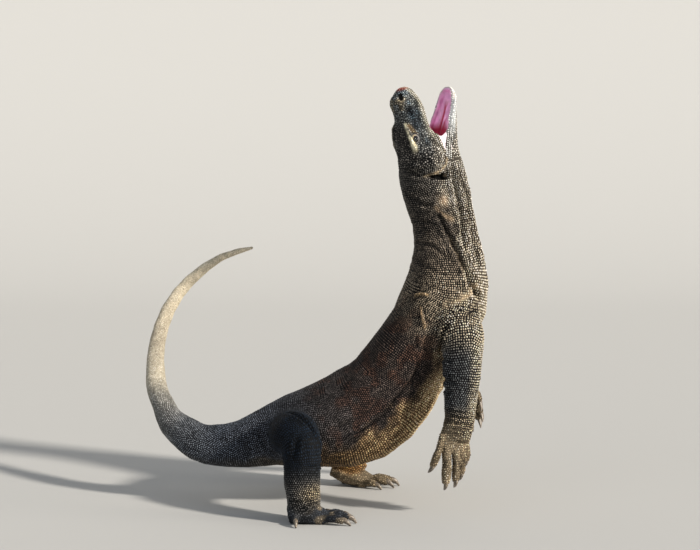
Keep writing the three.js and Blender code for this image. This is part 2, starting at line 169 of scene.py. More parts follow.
limbRows = {
    "right_leg": [
        (-66, -90, 200, 62, 0, 0, 1), (-52, -150, 206, 60, 0.2, 0, 1), (-38, -190, 184, 52, 0.5, 0, 0.7),
        (-37, -202, 134, 46, 1, 0, 0), (-37, -206, 88, 45, 1, 0, 0), (-35, -208, 44, 44, 1, 0, 0),
    ],
    "left_leg": [
        (-48, 108, 200, 62, 0, 0, 1), (-8, 158, 206, 58, 0.2, 0, 1), (26, 194, 176, 50, 0.6, 0, 0.7),
        (46, 212, 128, 45, 1, 0, 0.4), (66, 220, 86, 38, 1, 0, 0.5), (88, 224, 56, 34, 1, 0, 0.8),
    ],
    "right_arm": [
        (350, -62, 488, 60, 1, 0, 0), (361, -92, 445, 56, 1, 0, 0), (361, -112, 400, 50, 1, 0, 0),
        (360, -124, 350, 46, 1, 0, 0), (356, -130, 300, 45, 1, 0, 0), (354, -133, 252, 41, 1, 0, 0),
        (350, -134, 222, 39, 1, 0, 0),
    ],
    "left_arm": [
        (322, 78, 484, 54, 1, 0, 0), (314, 104, 446, 48, 1, 0, 0), (302, 122, 408, 44, 1, 0, 0.2),
        (308, 132, 366, 42, 1, 0, 0.4), (326, 144, 330, 37, 1, 0, 0.5), (346, 156, 304, 32, 1, 0, 0.5),
    ],
}


def splined(rows, steps):
    # Catmull-Rom through every number of the rows
    rows = np.array(rows, float)
    ends = np.vstack([rows[:1], rows, rows[-1:]])
    out = []
    for a, b, c, d in zip(ends[:-3], ends[1:-2], ends[2:-1], ends[3:]):
        for t in np.arange(steps) / steps:
            out.append(0.5 * (2 * b + (c - a) * t + (2 * a - 5 * b + 4 * c - d) * t**2
                              + (3 * b - a - 3 * c + d) * t**3))
    out.append(rows[-1])
    return np.array(out)


lineStep = 12 * mm  # between the stations of a centre line


def centreLine(rows, moved=True):
    fine = splined(rows, 10)
    fine[:, :4] *= mm
    if moved:
        fine[:, :3] += shift
    length = lengthAlong(fine[:, :3])
    count = max(2, int(round(length[-1] / lineStep)) + 1)
    at = np.linspace(0, length[-1], count)
    row = readOff(at, length, fine)
    along = unit(np.gradient(row[:, :3], axis=0))
    up = unit(row[:, 4:] - along * (row[:, 4:] * along).sum(1)[:, None])
    return {"s": at, "point": row[:, :3], "reach": row[:, 3], "along": along, "up": up,
            "side": np.cross(along, up)}


def straightLine(place, fromX, toX, height, reach):
    ends = placed(np.array([[fromX, 0, height], [toX, 0, height]]) * mm, place)
    return centreLine([(*p / mm, reach, *place["axes"][2]) for p in ends], moved=False)


lines = {"body": centreLine(bodyRows)}
for name, rows in limbRows.items():
    lines[name] = centreLine(rows)
lines["skull"] = straightLine(skull, -50, 180, 36, 50)
lines["jaw"] = straightLine(jaw, -30, 165, -26, 38)

# where each paw starts in mm, the way its fingers point and the way its back faces
pawSettings = {
    "right_foot": ((-30, -210, 0), (1, -0.03, 0), (0, 0, 1)),
    "left_foot": ((86, 226, 0), (1, -0.1, 0), (0, 0, 1)),
    "right_hand": ((335, -134, 190), (0.02, 0, -1), (0.25, -1, 0)),
    "left_hand": ((366, 164, 275), (0.48, 0.2, -0.86), (0.3, 1, 0.3)),
}
hands = ("right_hand", "left_hand")
pawReach = 0.17
pawPlace = {}
for name, (start, forward, up) in pawSettings.items():
    pawPlace[name] = localFrame(np.array(start) * mm + shift, np.array(forward), np.array(up, float))
    lines[name] = straightLine(pawPlace[name], -30, 100, 12 if "foot" in name else 0, 40)


def lineAt(line, s):
    # place, upper side and side of a line, s along it
    return [readOff(s, line["s"], line[key]) for key in ("point", "up", "side")]


def bodyCoordinates(points, line):
    # place along a line, angle from its upper side (positive to the animal's right) and distance over reach
    points = np.asarray(points)
    nearest = np.empty(len(points), int)
    atOnce = 20000
    for start in range(0, len(points), atOnce):
        chunk = points[start:start + atOnce]
        gap = (line["point"] ** 2).sum(1) - 2 * chunk @ line["point"].T
        nearest[start:start + atOnce] = gap.argmin(1)
    away = points - line["point"][nearest]
    forward = (away * line["along"][nearest]).sum(1)
    across = away - forward[:, None] * line["along"][nearest]
    end = (nearest == 0) & (forward < 0) | (nearest == len(line["s"]) - 1) & (forward > 0)
    distance = np.where(end, np.linalg.norm(away, axis=1), np.linalg.norm(across, axis=1))
    angle = np.degrees(np.arctan2((across * line["side"][nearest]).sum(1),
                                  (across * line["up"][nearest]).sum(1)))
    return line["s"][nearest] + forward, angle, distance / line["reach"][nearest]


def allCoordinates(points):
    return {name: bodyCoordinates(points, line) for name, line in lines.items()}


def shares(coordinates):
    # how much each part of the animal owns a point; the shares add up to one
    far = np.array([place[2] for place in coordinates.values()])
    near = np.exp(-9 * (far - far.min(0)))
    return dict(zip(coordinates, near / near.sum(0)))


# the skin
skinSettings = {
    "voxel": 2.4 * mm,
    "swell": 0.35 * mm,  # closes the cuts between the lengths of the body
    "tipSwell": 1.6 * mm,  # the thin end of the tail, taken off again after the remesh
    "inset": 0.9 * mm,
    "trunkRounds": 130,
    "tailRounds": 14,
    "limbRounds": 40,
    "joinRounds": 240,  # more where a limb meets the body
    "skullRounds": 26,
    "jawRounds": 8,
    "pawRounds": 7,
    "faceBudget": 186000,
    "lowest": 0.0002,
}


def fleshNodes():
    return [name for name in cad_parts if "claw" not in name and "_eye" not in name]


def joinedCopy(names, name):
    copies = []
    for node in names:
        copies.append(addObject(node + "_copy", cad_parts[node].data.copy()))
        editAll(bpy.ops.mesh.remove_doubles, threshold=0.00002)
    makeActive(copies[0])
    for piece in copies:
        piece.select_set(True)
    bpy.ops.object.join()
    copies[0].name = name
    copies[0].data.materials.clear()
    return copies[0]


def applyModifier(piece, kind, **settings):
    makeActive(piece)
    modifier = piece.modifiers.new(kind.lower(), kind)
    for key, value in settings.items():
        setattr(modifier, key, value)
    bpy.ops.object.modifier_apply(modifier=modifier.name)


def positions(mesh, kind="co"):
    flat = np.empty(len(mesh.vertices) * 3)
    mesh.vertices.foreach_get(kind, flat)
    return flat.reshape(-1, 3)


def vertexNormals(mesh):
    return positions(mesh, "normal")


def setPositions(mesh, where):
    mesh.vertices.foreach_set("co", np.ascontiguousarray(where).ravel())
    mesh.update()


def fillGroup(piece, name, weights, levels):
    # a vertex group with weights rounded to so many levels
    group = piece.vertex_groups.new(name=name)
    level = np.round(weights * levels).astype(int)
    for k in range(1, levels + 1):
        chosen = np.where(level == k)[0]
        if len(chosen):
            group.add(chosen.tolist(), k / levels, "REPLACE")
    return group


def softened(piece, rounds):
    # the smooth modifier, weighted by a vertex group so that each vertex gets its own share of the rounds
    top = rounds.max()
    group = fillGroup(piece, "soften", rounds / top, 40)
    applyModifier(piece, "SMOOTH", factor=0.5, iterations=int(top), vertex_group=group.name)
    piece.vertex_groups.remove(piece.vertex_groups["soften"])
    return positions(piece.data)


def relax(piece, rounds):
    # smooths, then gives back most of the girth that the smoothing took
    before = positions(piece.data)
    smooth = softened(piece, rounds)
    setPositions(piece.data, before - smooth)
    setPositions(piece.data, smooth + softened(piece, rounds))
    return positions(piece.data)


def tipShare(s):
    # 1 at the tip of the tail
    return smoothStep(0.30, 0.05, s)


skin = joinedCopy(fleshNodes(), "skin")
where = positions(skin.data)
swell = skinSettings["swell"] + skinSettings["tipSwell"] * tipShare(bodyCoordinates(where, lines["body"])[0])
setPositions(skin.data, where + vertexNormals(skin.data) * swell[:, None])
applyModifier(skin, "REMESH", mode="VOXEL", voxel_size=skinSettings["voxel"], adaptivity=0)
print("skin remeshed:", len(skin.data.vertices), "vertices")

where = positions(skin.data)
coords = allCoordinates(where)
share = shares(coords)
bodyS = coords["body"][0]
limbShare = sum(share[name] for name in limbRows)
pawShare = sum(share[name] for name in pawPlace)
headShare = share["skull"] + share["jaw"]
tailRounds = skinSettings["tailRounds"]
bodyRounds = tailRounds + (skinSettings["trunkRounds"] - tailRounds) * smoothStep(0.3, 0.8, bodyS)
rounds = (share["body"] * bodyRounds + limbShare * skinSettings["limbRounds"]
          + pawShare * skinSettings["pawRounds"] + share["skull"] * skinSettings["skullRounds"]
          + share["jaw"] * skinSettings["jawRounds"])
rounds += 2 * np.minimum(share["body"], limbShare) * skinSettings["joinRounds"]
where = relax(skin, rounds)

# the grooves where the limbs leave the body, and the steps at the nape and under the jaw: place and reach
# in mm, rounds, and the share of the smoothing left to what stands out
joinSettings = [
    ((-92, -128, 212), 84, 420, 0.25), ((-60, 120, 208), 80, 300, 0.25),
    ((338, -92, 492), 62, 260, 0.25), ((318, 84, 482), 58, 200, 0.25),
    ((200, -6, 852), 46, 160, 1.0), ((352, -6, 892), 46, 170, 0.7),
    ((330, -54, 888), 36, 150, 0.7), ((330, 54, 888), 36, 150, 0.7),
]


def fillGroove(where, normals, edges, centre, reach, rounds, sinking):
    # smoothing that lifts the hollows more than it lowers the rest
    near = np.linalg.norm(where - centre, axis=1) < reach * 1.5
    number = np.cumsum(near) - 1
    inside = near[edges].all(1)
    a, b = number[edges[inside]].T
    own = where[near]
    degree = np.maximum(np.bincount(a, minlength=len(own)) + np.bincount(b, minlength=len(own)), 1)
    share = np.exp(-(np.linalg.norm(own - centre, axis=1) / reach) ** 4) * 0.5
    for _ in range(rounds):
        total = np.stack([np.bincount(a, own[b, k], len(own)) + np.bincount(b, own[a, k], len(own))
                          for k in range(3)], 1)
        move = total / degree[:, None] - own
        lift = (move * normals[near]).sum(1)
        own = own + move * (share * np.where(lift > 0, 1, sinking))[:, None]
    where[near] = own


edges = np.empty(len(skin.data.edges) * 2, np.int32)
skin.data.edges.foreach_get("vertices", edges)
edges = edges.reshape(-1, 2)
normals = vertexNormals(skin.data)
for place, reach, turns, sinking in joinSettings:
    fillGroove(where, normals, edges, np.array(place) * mm + shift, reach * mm, turns, sinking)
setPositions(skin.data, where)

inset = skinSettings["inset"] * (1 - 0.7 * share["body"])
# fingers keep the girth that smoothing took from them
for name in pawPlace:
    fromS, toS, girth = (0.03, 0.07, 2.3) if name in hands else (0.06, 0.1, 1.2)
    inset -= share[name] * smoothStep(fromS, toS, coords[name][0]) * girth * mm
inset += skinSettings["tipSwell"] * tipShare(bodyS) * 0.75
where = where - vertexNormals(skin.data) * inset[:, None]
setPositions(skin.data, where)
print("skin smoothed")


# folds and features pressed into the skin
def treeOf(mesh):
    faces = [tuple(p.vertices) for p in mesh.polygons]
    return BVHTree.FromPolygons([tuple(v) for v in positions(mesh)], faces)


skinTree = treeOf(skin.data)


def onLine(name, s, angle):
    # the point of the skin at a place in mm along a line and an angle round it
    line = lines[name]
    point, up, side = lineAt(line, s * mm)
    a = math.radians(angle)
    way = math.cos(a) * up + math.sin(a) * side
    hit = skinTree.ray_cast(Vector(point), Vector(way), 0.25)[0]
    return np.array(hit if hit is not None else point + way * np.interp(s * mm, line["s"], line["reach"]))


def onSkin(point):
    return np.array(skinTree.find_nearest(Vector(point))[0])


# soft swellings of the flesh: place in mm, how far they reach and how high they stand
bumpSettings = [
    ((352, -112, 498), 42, 7), ((392, -130, 440), 34, 4), ((322, -135, 372), 26, 3),
    ((388, -150, 330), 34, 4), ((330, -165, 300), 30, 3), ((420, -60, 560), 45, 5),
    ((262, -96, 590), 38, 5), ((300, -90, 640), 32, 4), ((-106, -150, 186), 46, 7),
    ((-6, -236, 196), 32, 6), ((-66, -246, 120), 34, 5), ((-8, -240, 90), 26, -3),
    ((-40, -246, 40), 24, -3), ((354, 120, 470), 40, 6), ((10, 228, 190), 34, 6),
    ((-60, 150, 200), 46, 8), ((345, -80, 770), 30, 4), ((330, -84, 700), 26, -4),
    ((300, -120, 430), 26, -4),
]
# creases: a line of the body and places along it in mm with angles from its upper side, or places in mm;
# then the width, depth and height of the lips in mm
foldSettings = [
    ("body", [(1896, 140), (1849, 136), (1810, 135), (1770, 135), (1734, 131), (1698, 127),
              (1664, 124)], 6.5, 9, 4),
    ("body", [(1884, 128), (1863, 124), (1821, 128), (1787, 128), (1752, 122)], 4, 4.5, 2.5),
    ("body", [(1900, 168), (1860, 168), (1811, 160), (1762, 155), (1706, 150), (1662, 147),
              (1622, 148)], 6, 8, 4),
    ("body", [(1880, 154), (1840, 150), (1796, 148), (1744, 144), (1700, 139)], 4, 5, 3),
    ("body", [(1830, 173), (1776, 171), (1725, 165), (1680, 162), (1640, 160)], 5, 6, 3),
    ("body", [(1770, 84), (1746, 89), (1724, 92), (1683, 104), (1655, 115)], 6, 6, 5),
    ("body", [(1700, 98), (1660, 108), (1621, 119), (1589, 127), (1578, 134), (1560, 148)], 7.5, 9, 6),
    ("body", [(1667, 119), (1641, 127), (1610, 131), (1592, 140)], 5, 5, 3),
    ("body", [(1541, 97), (1567, 117), (1585, 131)], 8, -11, -3),
    ("body", [(1520, 110), (1545, 128), (1560, 140)], 7, 5, 3),
    ("body", [(1507, 59), (1480, 70), (1464, 78)], 3.6, -7, -3),
    ("body", [(1440, 78), (1413, 90)], 5, -5, -2),
    ("body", [(1530, 44), (1543, 52), (1548, 62)], 3.6, -6, -3),
    ("body", [(1390, 97), (1340, 103), (1296, 100), (1258, 99), (1219, 101), (1149, 104),
              (1096, 115)], 6, 6, 4),
    ("body", [(1370, 124), (1300, 122), (1240, 118), (1170, 121), (1110, 130)], 6, 3.5, 2.5),
    ("body", [(1340, 138), (1260, 134), (1180, 136), (1110, 142)], 6, 3.5, 2.5),
    ("body", [(1320, 152), (1250, 148), (1180, 150)], 6, 3, 2),
    ("body", [(1260, 82), (1200, 88), (1140, 86), (1085, 92)], 6, 2.6, 1.8),
    ("body", [(1420, 84), (1380, 78), (1330, 80)], 6, 2.2, 1.6),
    ("body", [(1890, 46), (1874, 58), (1868, 70), (1867, 82), (1868, 97)], 6, 5.5, 3),
    ("body", [(1838, 22), (1805, 51), (1789, 80)], 6, 3, 3),
    ("body", [(1700, 14), (1696, 40), (1680, 66), (1650, 86)], 6, 3, 2.4),
    ("body", [(1775, 14), (1758, 44), (1744, 72)], 5, 2.4, 2),
    ("body", [(1656, 10), (1640, 40), (1618, 66)], 5, 2.4, 2),
    ("body", [(905, 60), (915, 90), (930, 118)], 6, 3.5, 2.4),
    ("body", [(860, 50), (866, 90), (872, 130)], 6, 2.4, 1.8),
    ("place", [(326, -118, 486), (312, -110, 452), (304, -92, 424), (310, -78, 396)], 6.5, 8, 4),
    ("place", [(334, -122, 482), (322, -108, 446), (318, -100, 424)], 4, 4, 2),
    ("place", [(-78, -110, 266), (-56, -148, 262), (-28, -172, 247), (2, -192, 216),
               (11, -204, 176)], 6.5, 9, 3),
    ("place", [(-46, -235, 247), (-54, -240, 205), (-64, -240, 165)], 8, 4, 1),
    ("right_arm", [(176, 110), (168, 150), (158, 200), (150, 240)], 5.5, 4.5, 3),
    ("right_arm", [(196, 120), (190, 160), (184, 200)], 5, 3, 2),
    ("right_arm", [(120, 130), (112, 170), (104, 210)], 5, 3, 2),
    ("right_arm", [(238, 0), (243, 60), (240, 110), (234, 160)], 3.4, 2.2, 1.8),
    ("right_arm", [(252, 0), (257, 60), (254, 110), (248, 160)], 3.4, 2.4, 2),
    ("right_arm", [(266, 0), (271, 60), (268, 110), (262, 160)], 3.4, 2.6, 2),
    ("right_arm", [(280, -10), (285, 60), (282, 110), (276, 170)], 3.4, 2.6, 2),
    ("right_leg", [(228, 0), (236, 50), (240, 100), (236, 150)], 4, 3.5, 2.4),
    ("right_leg", [(214, 20), (220, 60), (222, 100)], 4, 2.4, 1.8),
    ("right_leg", [(150, -20), (156, 30), (160, 70)], 5, 3, 2.4),
    ("left_arm", [(150, 110), (146, 160), (140, 200)], 5, 3, 2),
    ("left_leg", [(180, 0), (186, 60), (182, 120)], 5, 3, 2),
    # head: brow, lid folds, the hollow from eye to nostril, lip, jaw lobe, nostril
    ("skull", [(100, 26, 63), (90, 32, 66), (75, 39, 66), (60, 43, 67), (48, 46, 68),
               (36, 45, 68)], 5, -3.6, -1),
    ("skull", [(94, 32, 57), (84, 37, 53), (75, 41, 49), (67, 44, 46)], 3.2, -2.4, 0),
    ("skull", [(152, 27, 55), (129, 32, 49), (111, 34, 43), (95, 38, 36)], 10, 5.5, 1),
    ("skull", [(74, 44, 40), (63, 47, 40), (52, 50, 44), (45, 51, 52), (42, 49, 60)], 2.6, 2.4, 1.6),
    ("skull", [(76, 44, 33), (62, 49, 33), (47, 53, 38), (38, 54, 48), (34, 51, 58)], 3, 2.4, 1.6),
    ("skull", [(168, 21, 32), (150, 30, 27), (124, 37, 29), (97, 40, 30), (70, 43, 26), (41, 54, 22),
               (14, 62, 22)], 6, 2.8, 1.6),
    ("skull", [(31, 49, 62), (15, 60, 50), (2, 64, 40)], 5, -3, 0),
    ("skull", [(50, 26, 70), (20, 28, 70), (-10, 34, 70), (-30, 40, 68)], 7, 2.6, 1),
    ("skull", [(175, 14, 47), (169, 17, 50), (164, 21, 52)], 5.0, 8, 2.4),
    ("jaw", [(150, 30, -26), (110, 38, -30), (70, 46, -34), (30, 54, -38)], 5, 2.6, 1.4),
]
# openings and hollows of the head in the skull's own mm: half size and depth
headMarksAt = {
    "jowl": {"at": (-4, 60, 36), "half": (24, 30, 24), "depth": -5},
    "temple": {"at": (16, 48, 68), "half": (16, 16, 12), "depth": 3.5},
    "cheek": {"at": (66, 44, 20), "half": (20, 16, 12), "depth": 2},
    "noseBump": {"at": (156, 14, 60), "half": (16, 18, 16), "depth": -4},
    "snoutDip": {"at": (122, 10, 60), "half": (18, 18, 12), "depth": 1.2},
    "socket": {"at": (63, 46, 57), "half": (15, 13, 13), "depth": 2.6},
}
# the hollow behind the jaw, a wedge that widens towards the throat, and the loose edge in front of it
hollow = {
    "path": [(-40, 53), (-43, 43), (-47, 34), (-49, 27)],
    "thin": 2.6,
    "broad": 10.0,
    "depth": 14,
    "bare": 0.95,  # no scales nearer to its middle than this share of its width
}
flap = {
    "path": [(-36, 62), (-34, 52), (-33, 41), (-30, 28), (-22, 12), (-10, 2)],
    "rise": 4.5,
    "width": 3.4,
    "worn": 3.0,  # width of its pale edge
}


def alongPath(points, path):
    # distance to a path and how far along it, 0 to 1, the nearest place is
    best, way = np.full(len(points), 1e9), np.zeros(len(points))
    lengths = np.linalg.norm(np.diff(path, axis=0), axis=1)
    start = lengthAlong(path)
    for k, (a, b) in enumerate(zip(path[:-1], path[1:])):
        ab = b - a
        t = np.clip((points - a) @ ab / max(ab @ ab, 1e-12), 0, 1)
        d = np.linalg.norm(points - a - t[:, None] * ab, axis=1)
        nearer = d < best
        best[nearer] = d[nearer]
        way[nearer] = (start[k] + t[nearer] * lengths[k]) / start[-1]
    return best, way


# how a fold runs out at its ends, where its lips stand in widths from its middle, and how much painted shade
# a millimetre of its depth gives, between the painted light on a ridge and the darkest painted shade in a crease
foldShape = {"ends": 6, "fall": 1.8, "lipAt": 1.8, "lipSpread": 0.5, "paintedShade": 0.1, "worn": -0.8, "deepestPaintedShade": 0.75}


def nearPath(points, path, width, reach):
    # the points near a path, their distance over its width, and a taper towards its two ends
    near = insideBox(points, path.min(0) - reach * width, path.max(0) + reach * width)
    away, along = alongPath(points[near], path)
    taper = np.sqrt(np.clip(np.minimum(along, 1 - along) * foldShape["ends"], 0, 1))
    return near, away / width, taper


def pressFold(where, normals, path, width, depth, lip):
    near, away, taper = nearPath(where, path, width, 5)
    dip = np.exp(-(away ** foldShape["fall"]))
    rim = np.exp(-((away - foldShape["lipAt"]) ** 2) / foldShape["lipSpread"])
    where[near] += normals[near] * ((-depth * dip + lip * rim) * taper)[:, None]


def clawEnds(node, paw):
    # root and tip of a claw in the frame
    vertices = np.array([v.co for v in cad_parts[node].data.vertices])
    tip = vertices[np.linalg.norm(vertices - pawPlace[paw]["origin"], axis=1).argmax()]
    far = np.linalg.norm(vertices - tip, axis=1)
    return vertices[far > 0.82 * far.max()].mean(0), tip


fingerEnds = {paw: [clawEnds(f"{paw}_claw_{k}", paw)[0] for k in range(1, 6)] for paw in hands}
creaseSettings = {"width": 2.6 * mm, "from": (0.045, 0.06), "depth": 2.0 * mm}


def fingerCrease(points, paw):
    # 1 midway between two fingers, 0 on the palm
    start = pawPlace[paw]["origin"]
    gaps = []
    for end in fingerEnds[paw]:
        way = end - start
        t = np.clip((points - start) @ way / (way @ way), 0, 1)
        gaps.append(np.linalg.norm(points - start - t[:, None] * way, axis=1))
    gaps = np.sort(np.array(gaps), axis=0)
    beyond = smoothStep(*creaseSettings["from"], np.linalg.norm(points - start, axis=1))
    return np.exp(-(((gaps[1] - gaps[0]) / creaseSettings["width"]) ** 2)) * beyond


def headSided(points):
    # mm in the skull's frame, with both sides folded onto one
    local = seenFrom(points, skull) / mm
    return np.stack([local[:, 0], np.abs(local[:, 1]), local[:, 2]], 1)


def besidePath(points, path):
    # gap to a path on the side of the head, seen square from that side, and how far along it
    nearSide, farAway = 34, 1e3
    sided = headSided(points)
    places = np.array([(x, 0, z) for x, z in path], float)
    away, along = alongPath(sided * [1, 0, 1], places)
    return np.where(sided[:, 1] > nearSide, away, farAway), along


def hollowGap(points):
    # 0 along the middle of the hollow behind the jaw, 1 at its rim
    away, along = besidePath(points, hollow["path"])
    return away / (hollow["thin"] + (hollow["broad"] - hollow["thin"]) * along)


def foldShade(points):
    # painted shade in the creases and painted light on the ridges, more the deeper the crease or the higher the
    # ridge
    shade = np.ones(len(points))
    for path, width, depth in foldPaths:
        near, away, taper = nearPath(points, path, width, 2.5)
        amount = np.clip(depth / mm * foldShape["paintedShade"], foldShape["worn"], foldShape["deepestPaintedShade"])
        shade[near] *= 1 - amount * np.exp(-(away**2)) * taper
    return shade


normals = vertexNormals(skin.data)
for place, reach, lift in bumpSettings:
    centre = onSkin(np.array(place) * mm + shift)
    e = np.linalg.norm(where - centre, axis=1) / (reach * mm)
    near = e < 2.5
    where[near] += normals[near] * (lift * mm * np.exp(-(e[near] ** 2)))[:, None]
setPositions(skin.data, where)
skinTree = treeOf(skin.data)
normals = vertexNormals(skin.data)
foldPaths = []
for kind, places, width, depth, lip in foldSettings:
    for side in (1, -1) if kind in ("body", "skull", "jaw") else (1,):
        if kind == "place":
            path = [onSkin(np.array(p) * mm + shift) for p in places]
        elif kind in ("skull", "jaw"):
            own = skull if kind == "skull" else jaw
            path = [onSkin(placed(np.array([x, side * y, z]) * mm, own)[0]) for x, y, z in places]
        else:
            path = [onLine(kind, s, side * a) for s, a in places]
        foldPaths.append((splined(np.array(path), 5), width * mm, depth * mm))
        pressFold(where, normals, *foldPaths[-1], lip * mm)
setPositions(skin.data, where)
print("folds pressed in")


def pressMarks(where, normals):
    local = seenFrom(where, skull) / mm
    for mark in headMarksAt.values():
        at = np.array(mark["at"])
        for side in (-1, 1):
            e = np.linalg.norm((local - at * [1, side, 1]) / np.array(mark["half"]), axis=1)
            near = e < 2.6
            move = -mark["depth"] * np.exp(-(e[near] ** 2.4))
            where[near] += normals[near] * (move * mm)[:, None]
    for paw in hands:
        near = np.linalg.norm(where - pawPlace[paw]["origin"], axis=1) < pawReach
        where[near] -= normals[near] * (creaseSettings["depth"] * fingerCrease(where[near], paw))[:, None]
    e = hollowGap(where)
    near = e < 2
    where[near] -= normals[near] * (hollow["depth"] * mm * np.exp(-(e[near] ** 3)))[:, None]
    away, along = besidePath(where, flap["path"])
    rise = flap["rise"] * np.exp(-((away / flap["width"]) ** 2)) * smoothStep(0, 0.2, along)
    where += normals * (rise * mm)[:, None]


pressMarks(where, vertexNormals(skin.data))
setPositions(skin.data, where)
normals = vertexNormals(skin.data)

# loose hide: slow waves everywhere, long wrinkles along flanks and throat, rings round the neck, and bands
# across the fingers; heights in mm, the lumps of the waves and the pitch of the bands in metres
looseSettings = {"slow": (0.034, 2.0), "quick": (0.015, 1.1), "wrinkle": 2.2, "ring": 1.3, "finger": 0.55}
fingerPitch = 6.5 * mm
coords = allCoordinates(where)
share = shares(coords)
bodyS, bodyAngle, bodyFar = coords["body"]
girth = np.radians(bodyAngle) * 0.1


def ridged(along, around, size, seed):
    return 1 - 2 * np.abs(lumps(np.stack([along, around, bodyFar * 0], 1), size, seed) - 0.5)


(slow, slowRise), (quick, quickRise) = looseSettings["slow"], looseSettings["quick"]
sides = smoothStep(70, 100, np.abs(bodyAngle)) * smoothStep(0.98, 1.1, bodyS)
ringed = smoothStep(110, 80, np.abs(bodyAngle)) * smoothStep(1.5, 1.65, bodyS)
waves = (lumps(where, slow, 3) - 0.5) * slowRise + (lumps(where, quick, 4) - 0.5) * quickRise
waves = waves * (0.25 + 0.75 * np.clip(1 - pawShare - headShare, 0, 1))
for name in hands:
    bands = np.cos(coords[name][0] / fingerPitch * 2 * math.pi)
    waves = waves - share[name] * looseSettings["finger"] * bands
wrinkles = sides * (ridged(bodyS * 0.2, girth, 0.013, 51)**3) * looseSettings["wrinkle"]
rings = ringed * (ridged(bodyS, girth * 0.25, 0.014, 52)**3) * looseSettings["ring"]
waves = waves + share["body"] * (wrinkles + rings)
where += normals * (waves * mm)[:, None]


def mouthWidths(points):
    # the points in mm in the skull's and the jaw's frames, and half the width of each there
    a = seenFrom(points, skull) / mm
    b = seenFrom(points, jaw) / mm
    upper = np.interp(a[:, 0], [0, 27, 52, 75, 97, 139, 160, 178, 187], [65, 58, 50, 44, 41, 38, 31, 21, 8])
    lower = np.interp(b[:, 0], [0, 27, 55, 85, 112, 138, 157, 169, 175], [60, 55, 50, 45, 40, 36, 30, 21, 9])
    return a, b, upper, lower


def liningShare(points):
    # the skin between the lips: floor, roof, throat and the webs at the corners
    a, b, upper, lower = mouthWidths(points)
    (ax, ay, az), (bx, by, bz) = a.T, b.T
    wedge = (az < -7) & (bz > -1) & (ax > -30)
    trough = (bz > -26) & (bz < 24) & (bx > -36) & (bx < 172) & (np.abs(by) < lower - 6.5)
    roof = (az > -32) & (az < 12) & (ax > -36) & (ax < 182) & (np.abs(ay) < upper - 8)
    return wedge | (trough & (az < 12)) | (roof & (bz > -22))


# low ridges along the floor of the mouth and a groove down its middle, in mm
mouthFloor = {"from": 18, "to": 160, "below": 4, "pitch": 12, "rise": 1.1, "groove": 1.6, "grooveWidth": 4}
jawX, jawY, jawZ = (seenFrom(where, jaw) / mm).T
ridge = np.cos(jawY * 2 * math.pi / mouthFloor["pitch"]) * mouthFloor["rise"]
ridge -= mouthFloor["groove"] * np.exp(-((jawY / mouthFloor["grooveWidth"]) ** 2))
onFloor = liningShare(where) & (jawZ < mouthFloor["below"])
onFloor &= (jawX > mouthFloor["from"]) & (jawX < mouthFloor["to"])
where[onFloor] += normals[onFloor] * (ridge[onFloor] * mm)[:, None]
# soles stay just above the ground
where[:, 2] = np.maximum(where[:, 2], skinSettings["lowest"])
setPositions(skin.data, where)
print("head features and wrinkles pressed in")


def triangleCount(mesh):
    return sum(len(p.vertices) - 2 for p in mesh.polygons)


# fewer faces on the body, where scales cover it
fillGroup(skin, "body", 1 - np.clip(headShare + pawShare, 0, 1), 10)
applyModifier(skin, "DECIMATE", ratio=skinSettings["faceBudget"] / triangleCount(skin.data),
              vertex_group="body", vertex_group_factor=4)
print("skin has", triangleCount(skin.data), "triangles")
skinTree = treeOf(skin.data)


# markings, the same for skin and scales
# place along the body in mm, then the colour of a scale and of the skin between, above and below
bodyTones = [
    # the pale tail is partly dust and partly painted light, its tip painted paler against the head's shadow; the
    # darker tail base is partly painted shadow of the body
    (0, (246, 232, 204), (196, 182, 156), (246, 232, 204), (196, 182, 156)),
    (200, (238, 226, 200), (206, 192, 166), (238, 226, 200), (206, 192, 166)),
    (400, (194, 184, 164), (170, 159, 140), (196, 186, 164), (172, 162, 142)),
    (500, (212, 202, 182), (180, 170, 150), (216, 205, 182), (184, 173, 152)),
    (570, (176, 172, 162), (104, 101, 94), (188, 182, 168), (116, 111, 102)),
    (690, (138, 141, 145), (38, 41, 46), (144, 142, 136), (56, 54, 52)),
    (800, (110, 118, 130), (20, 22, 27), (100, 100, 100), (27, 26, 26)),
    (960, (112, 116, 125), (17, 18, 22), (106, 96, 82), (28, 24, 20)),
    (1080, (106, 100, 99), (15, 13, 13), (146, 116, 80), (38, 30, 21)),
    (1230, (98, 86, 80), (14, 12, 12), (234, 197, 148), (80, 62, 41)),
    (1400, (106, 91, 82), (14, 12, 11), (242, 214, 170), (94, 75, 52)),
    (1530, (206, 188, 162), (20, 17, 14), (252, 234, 202), (64, 54, 43)),
    (1640, (158, 142, 124), (13, 11, 10), (244, 226, 198), (48, 41, 33)),
    (1760, (144, 133, 120), (11, 10, 10), (244, 228, 202), (48, 42, 36)),
    (1900, (138, 133, 126), (11, 11, 12), (240, 228, 208), (60, 55, 49)),
]
partTones = {
    "skull": ((172, 176, 174), (7, 9, 13)),
    "jaw": ((246, 246, 240), (156, 160, 162)),
    # the near arm's dark ground is partly painted shade, set against the painted light of its lit side
    "right_arm": ((104, 106, 107), (9, 10, 12)),
    "left_arm": ((130, 122, 108), (20, 19, 18)),
    # the near leg's blue-black is partly painted shade, the belly's shadow over the thigh
    "right_leg": ((20, 32, 46), (2, 4, 7)),
    "left_leg": ((34, 42, 52), (4, 6, 9)),
    "right_foot": ((66, 70, 77), (9, 11, 14)),
    "left_foot": ((166, 148, 120), (40, 33, 25)),
    "right_hand": ((190, 168, 136), (24, 19, 15)),
    "left_hand": ((170, 152, 124), (26, 21, 17)),
}
rust = (120, 70, 42)
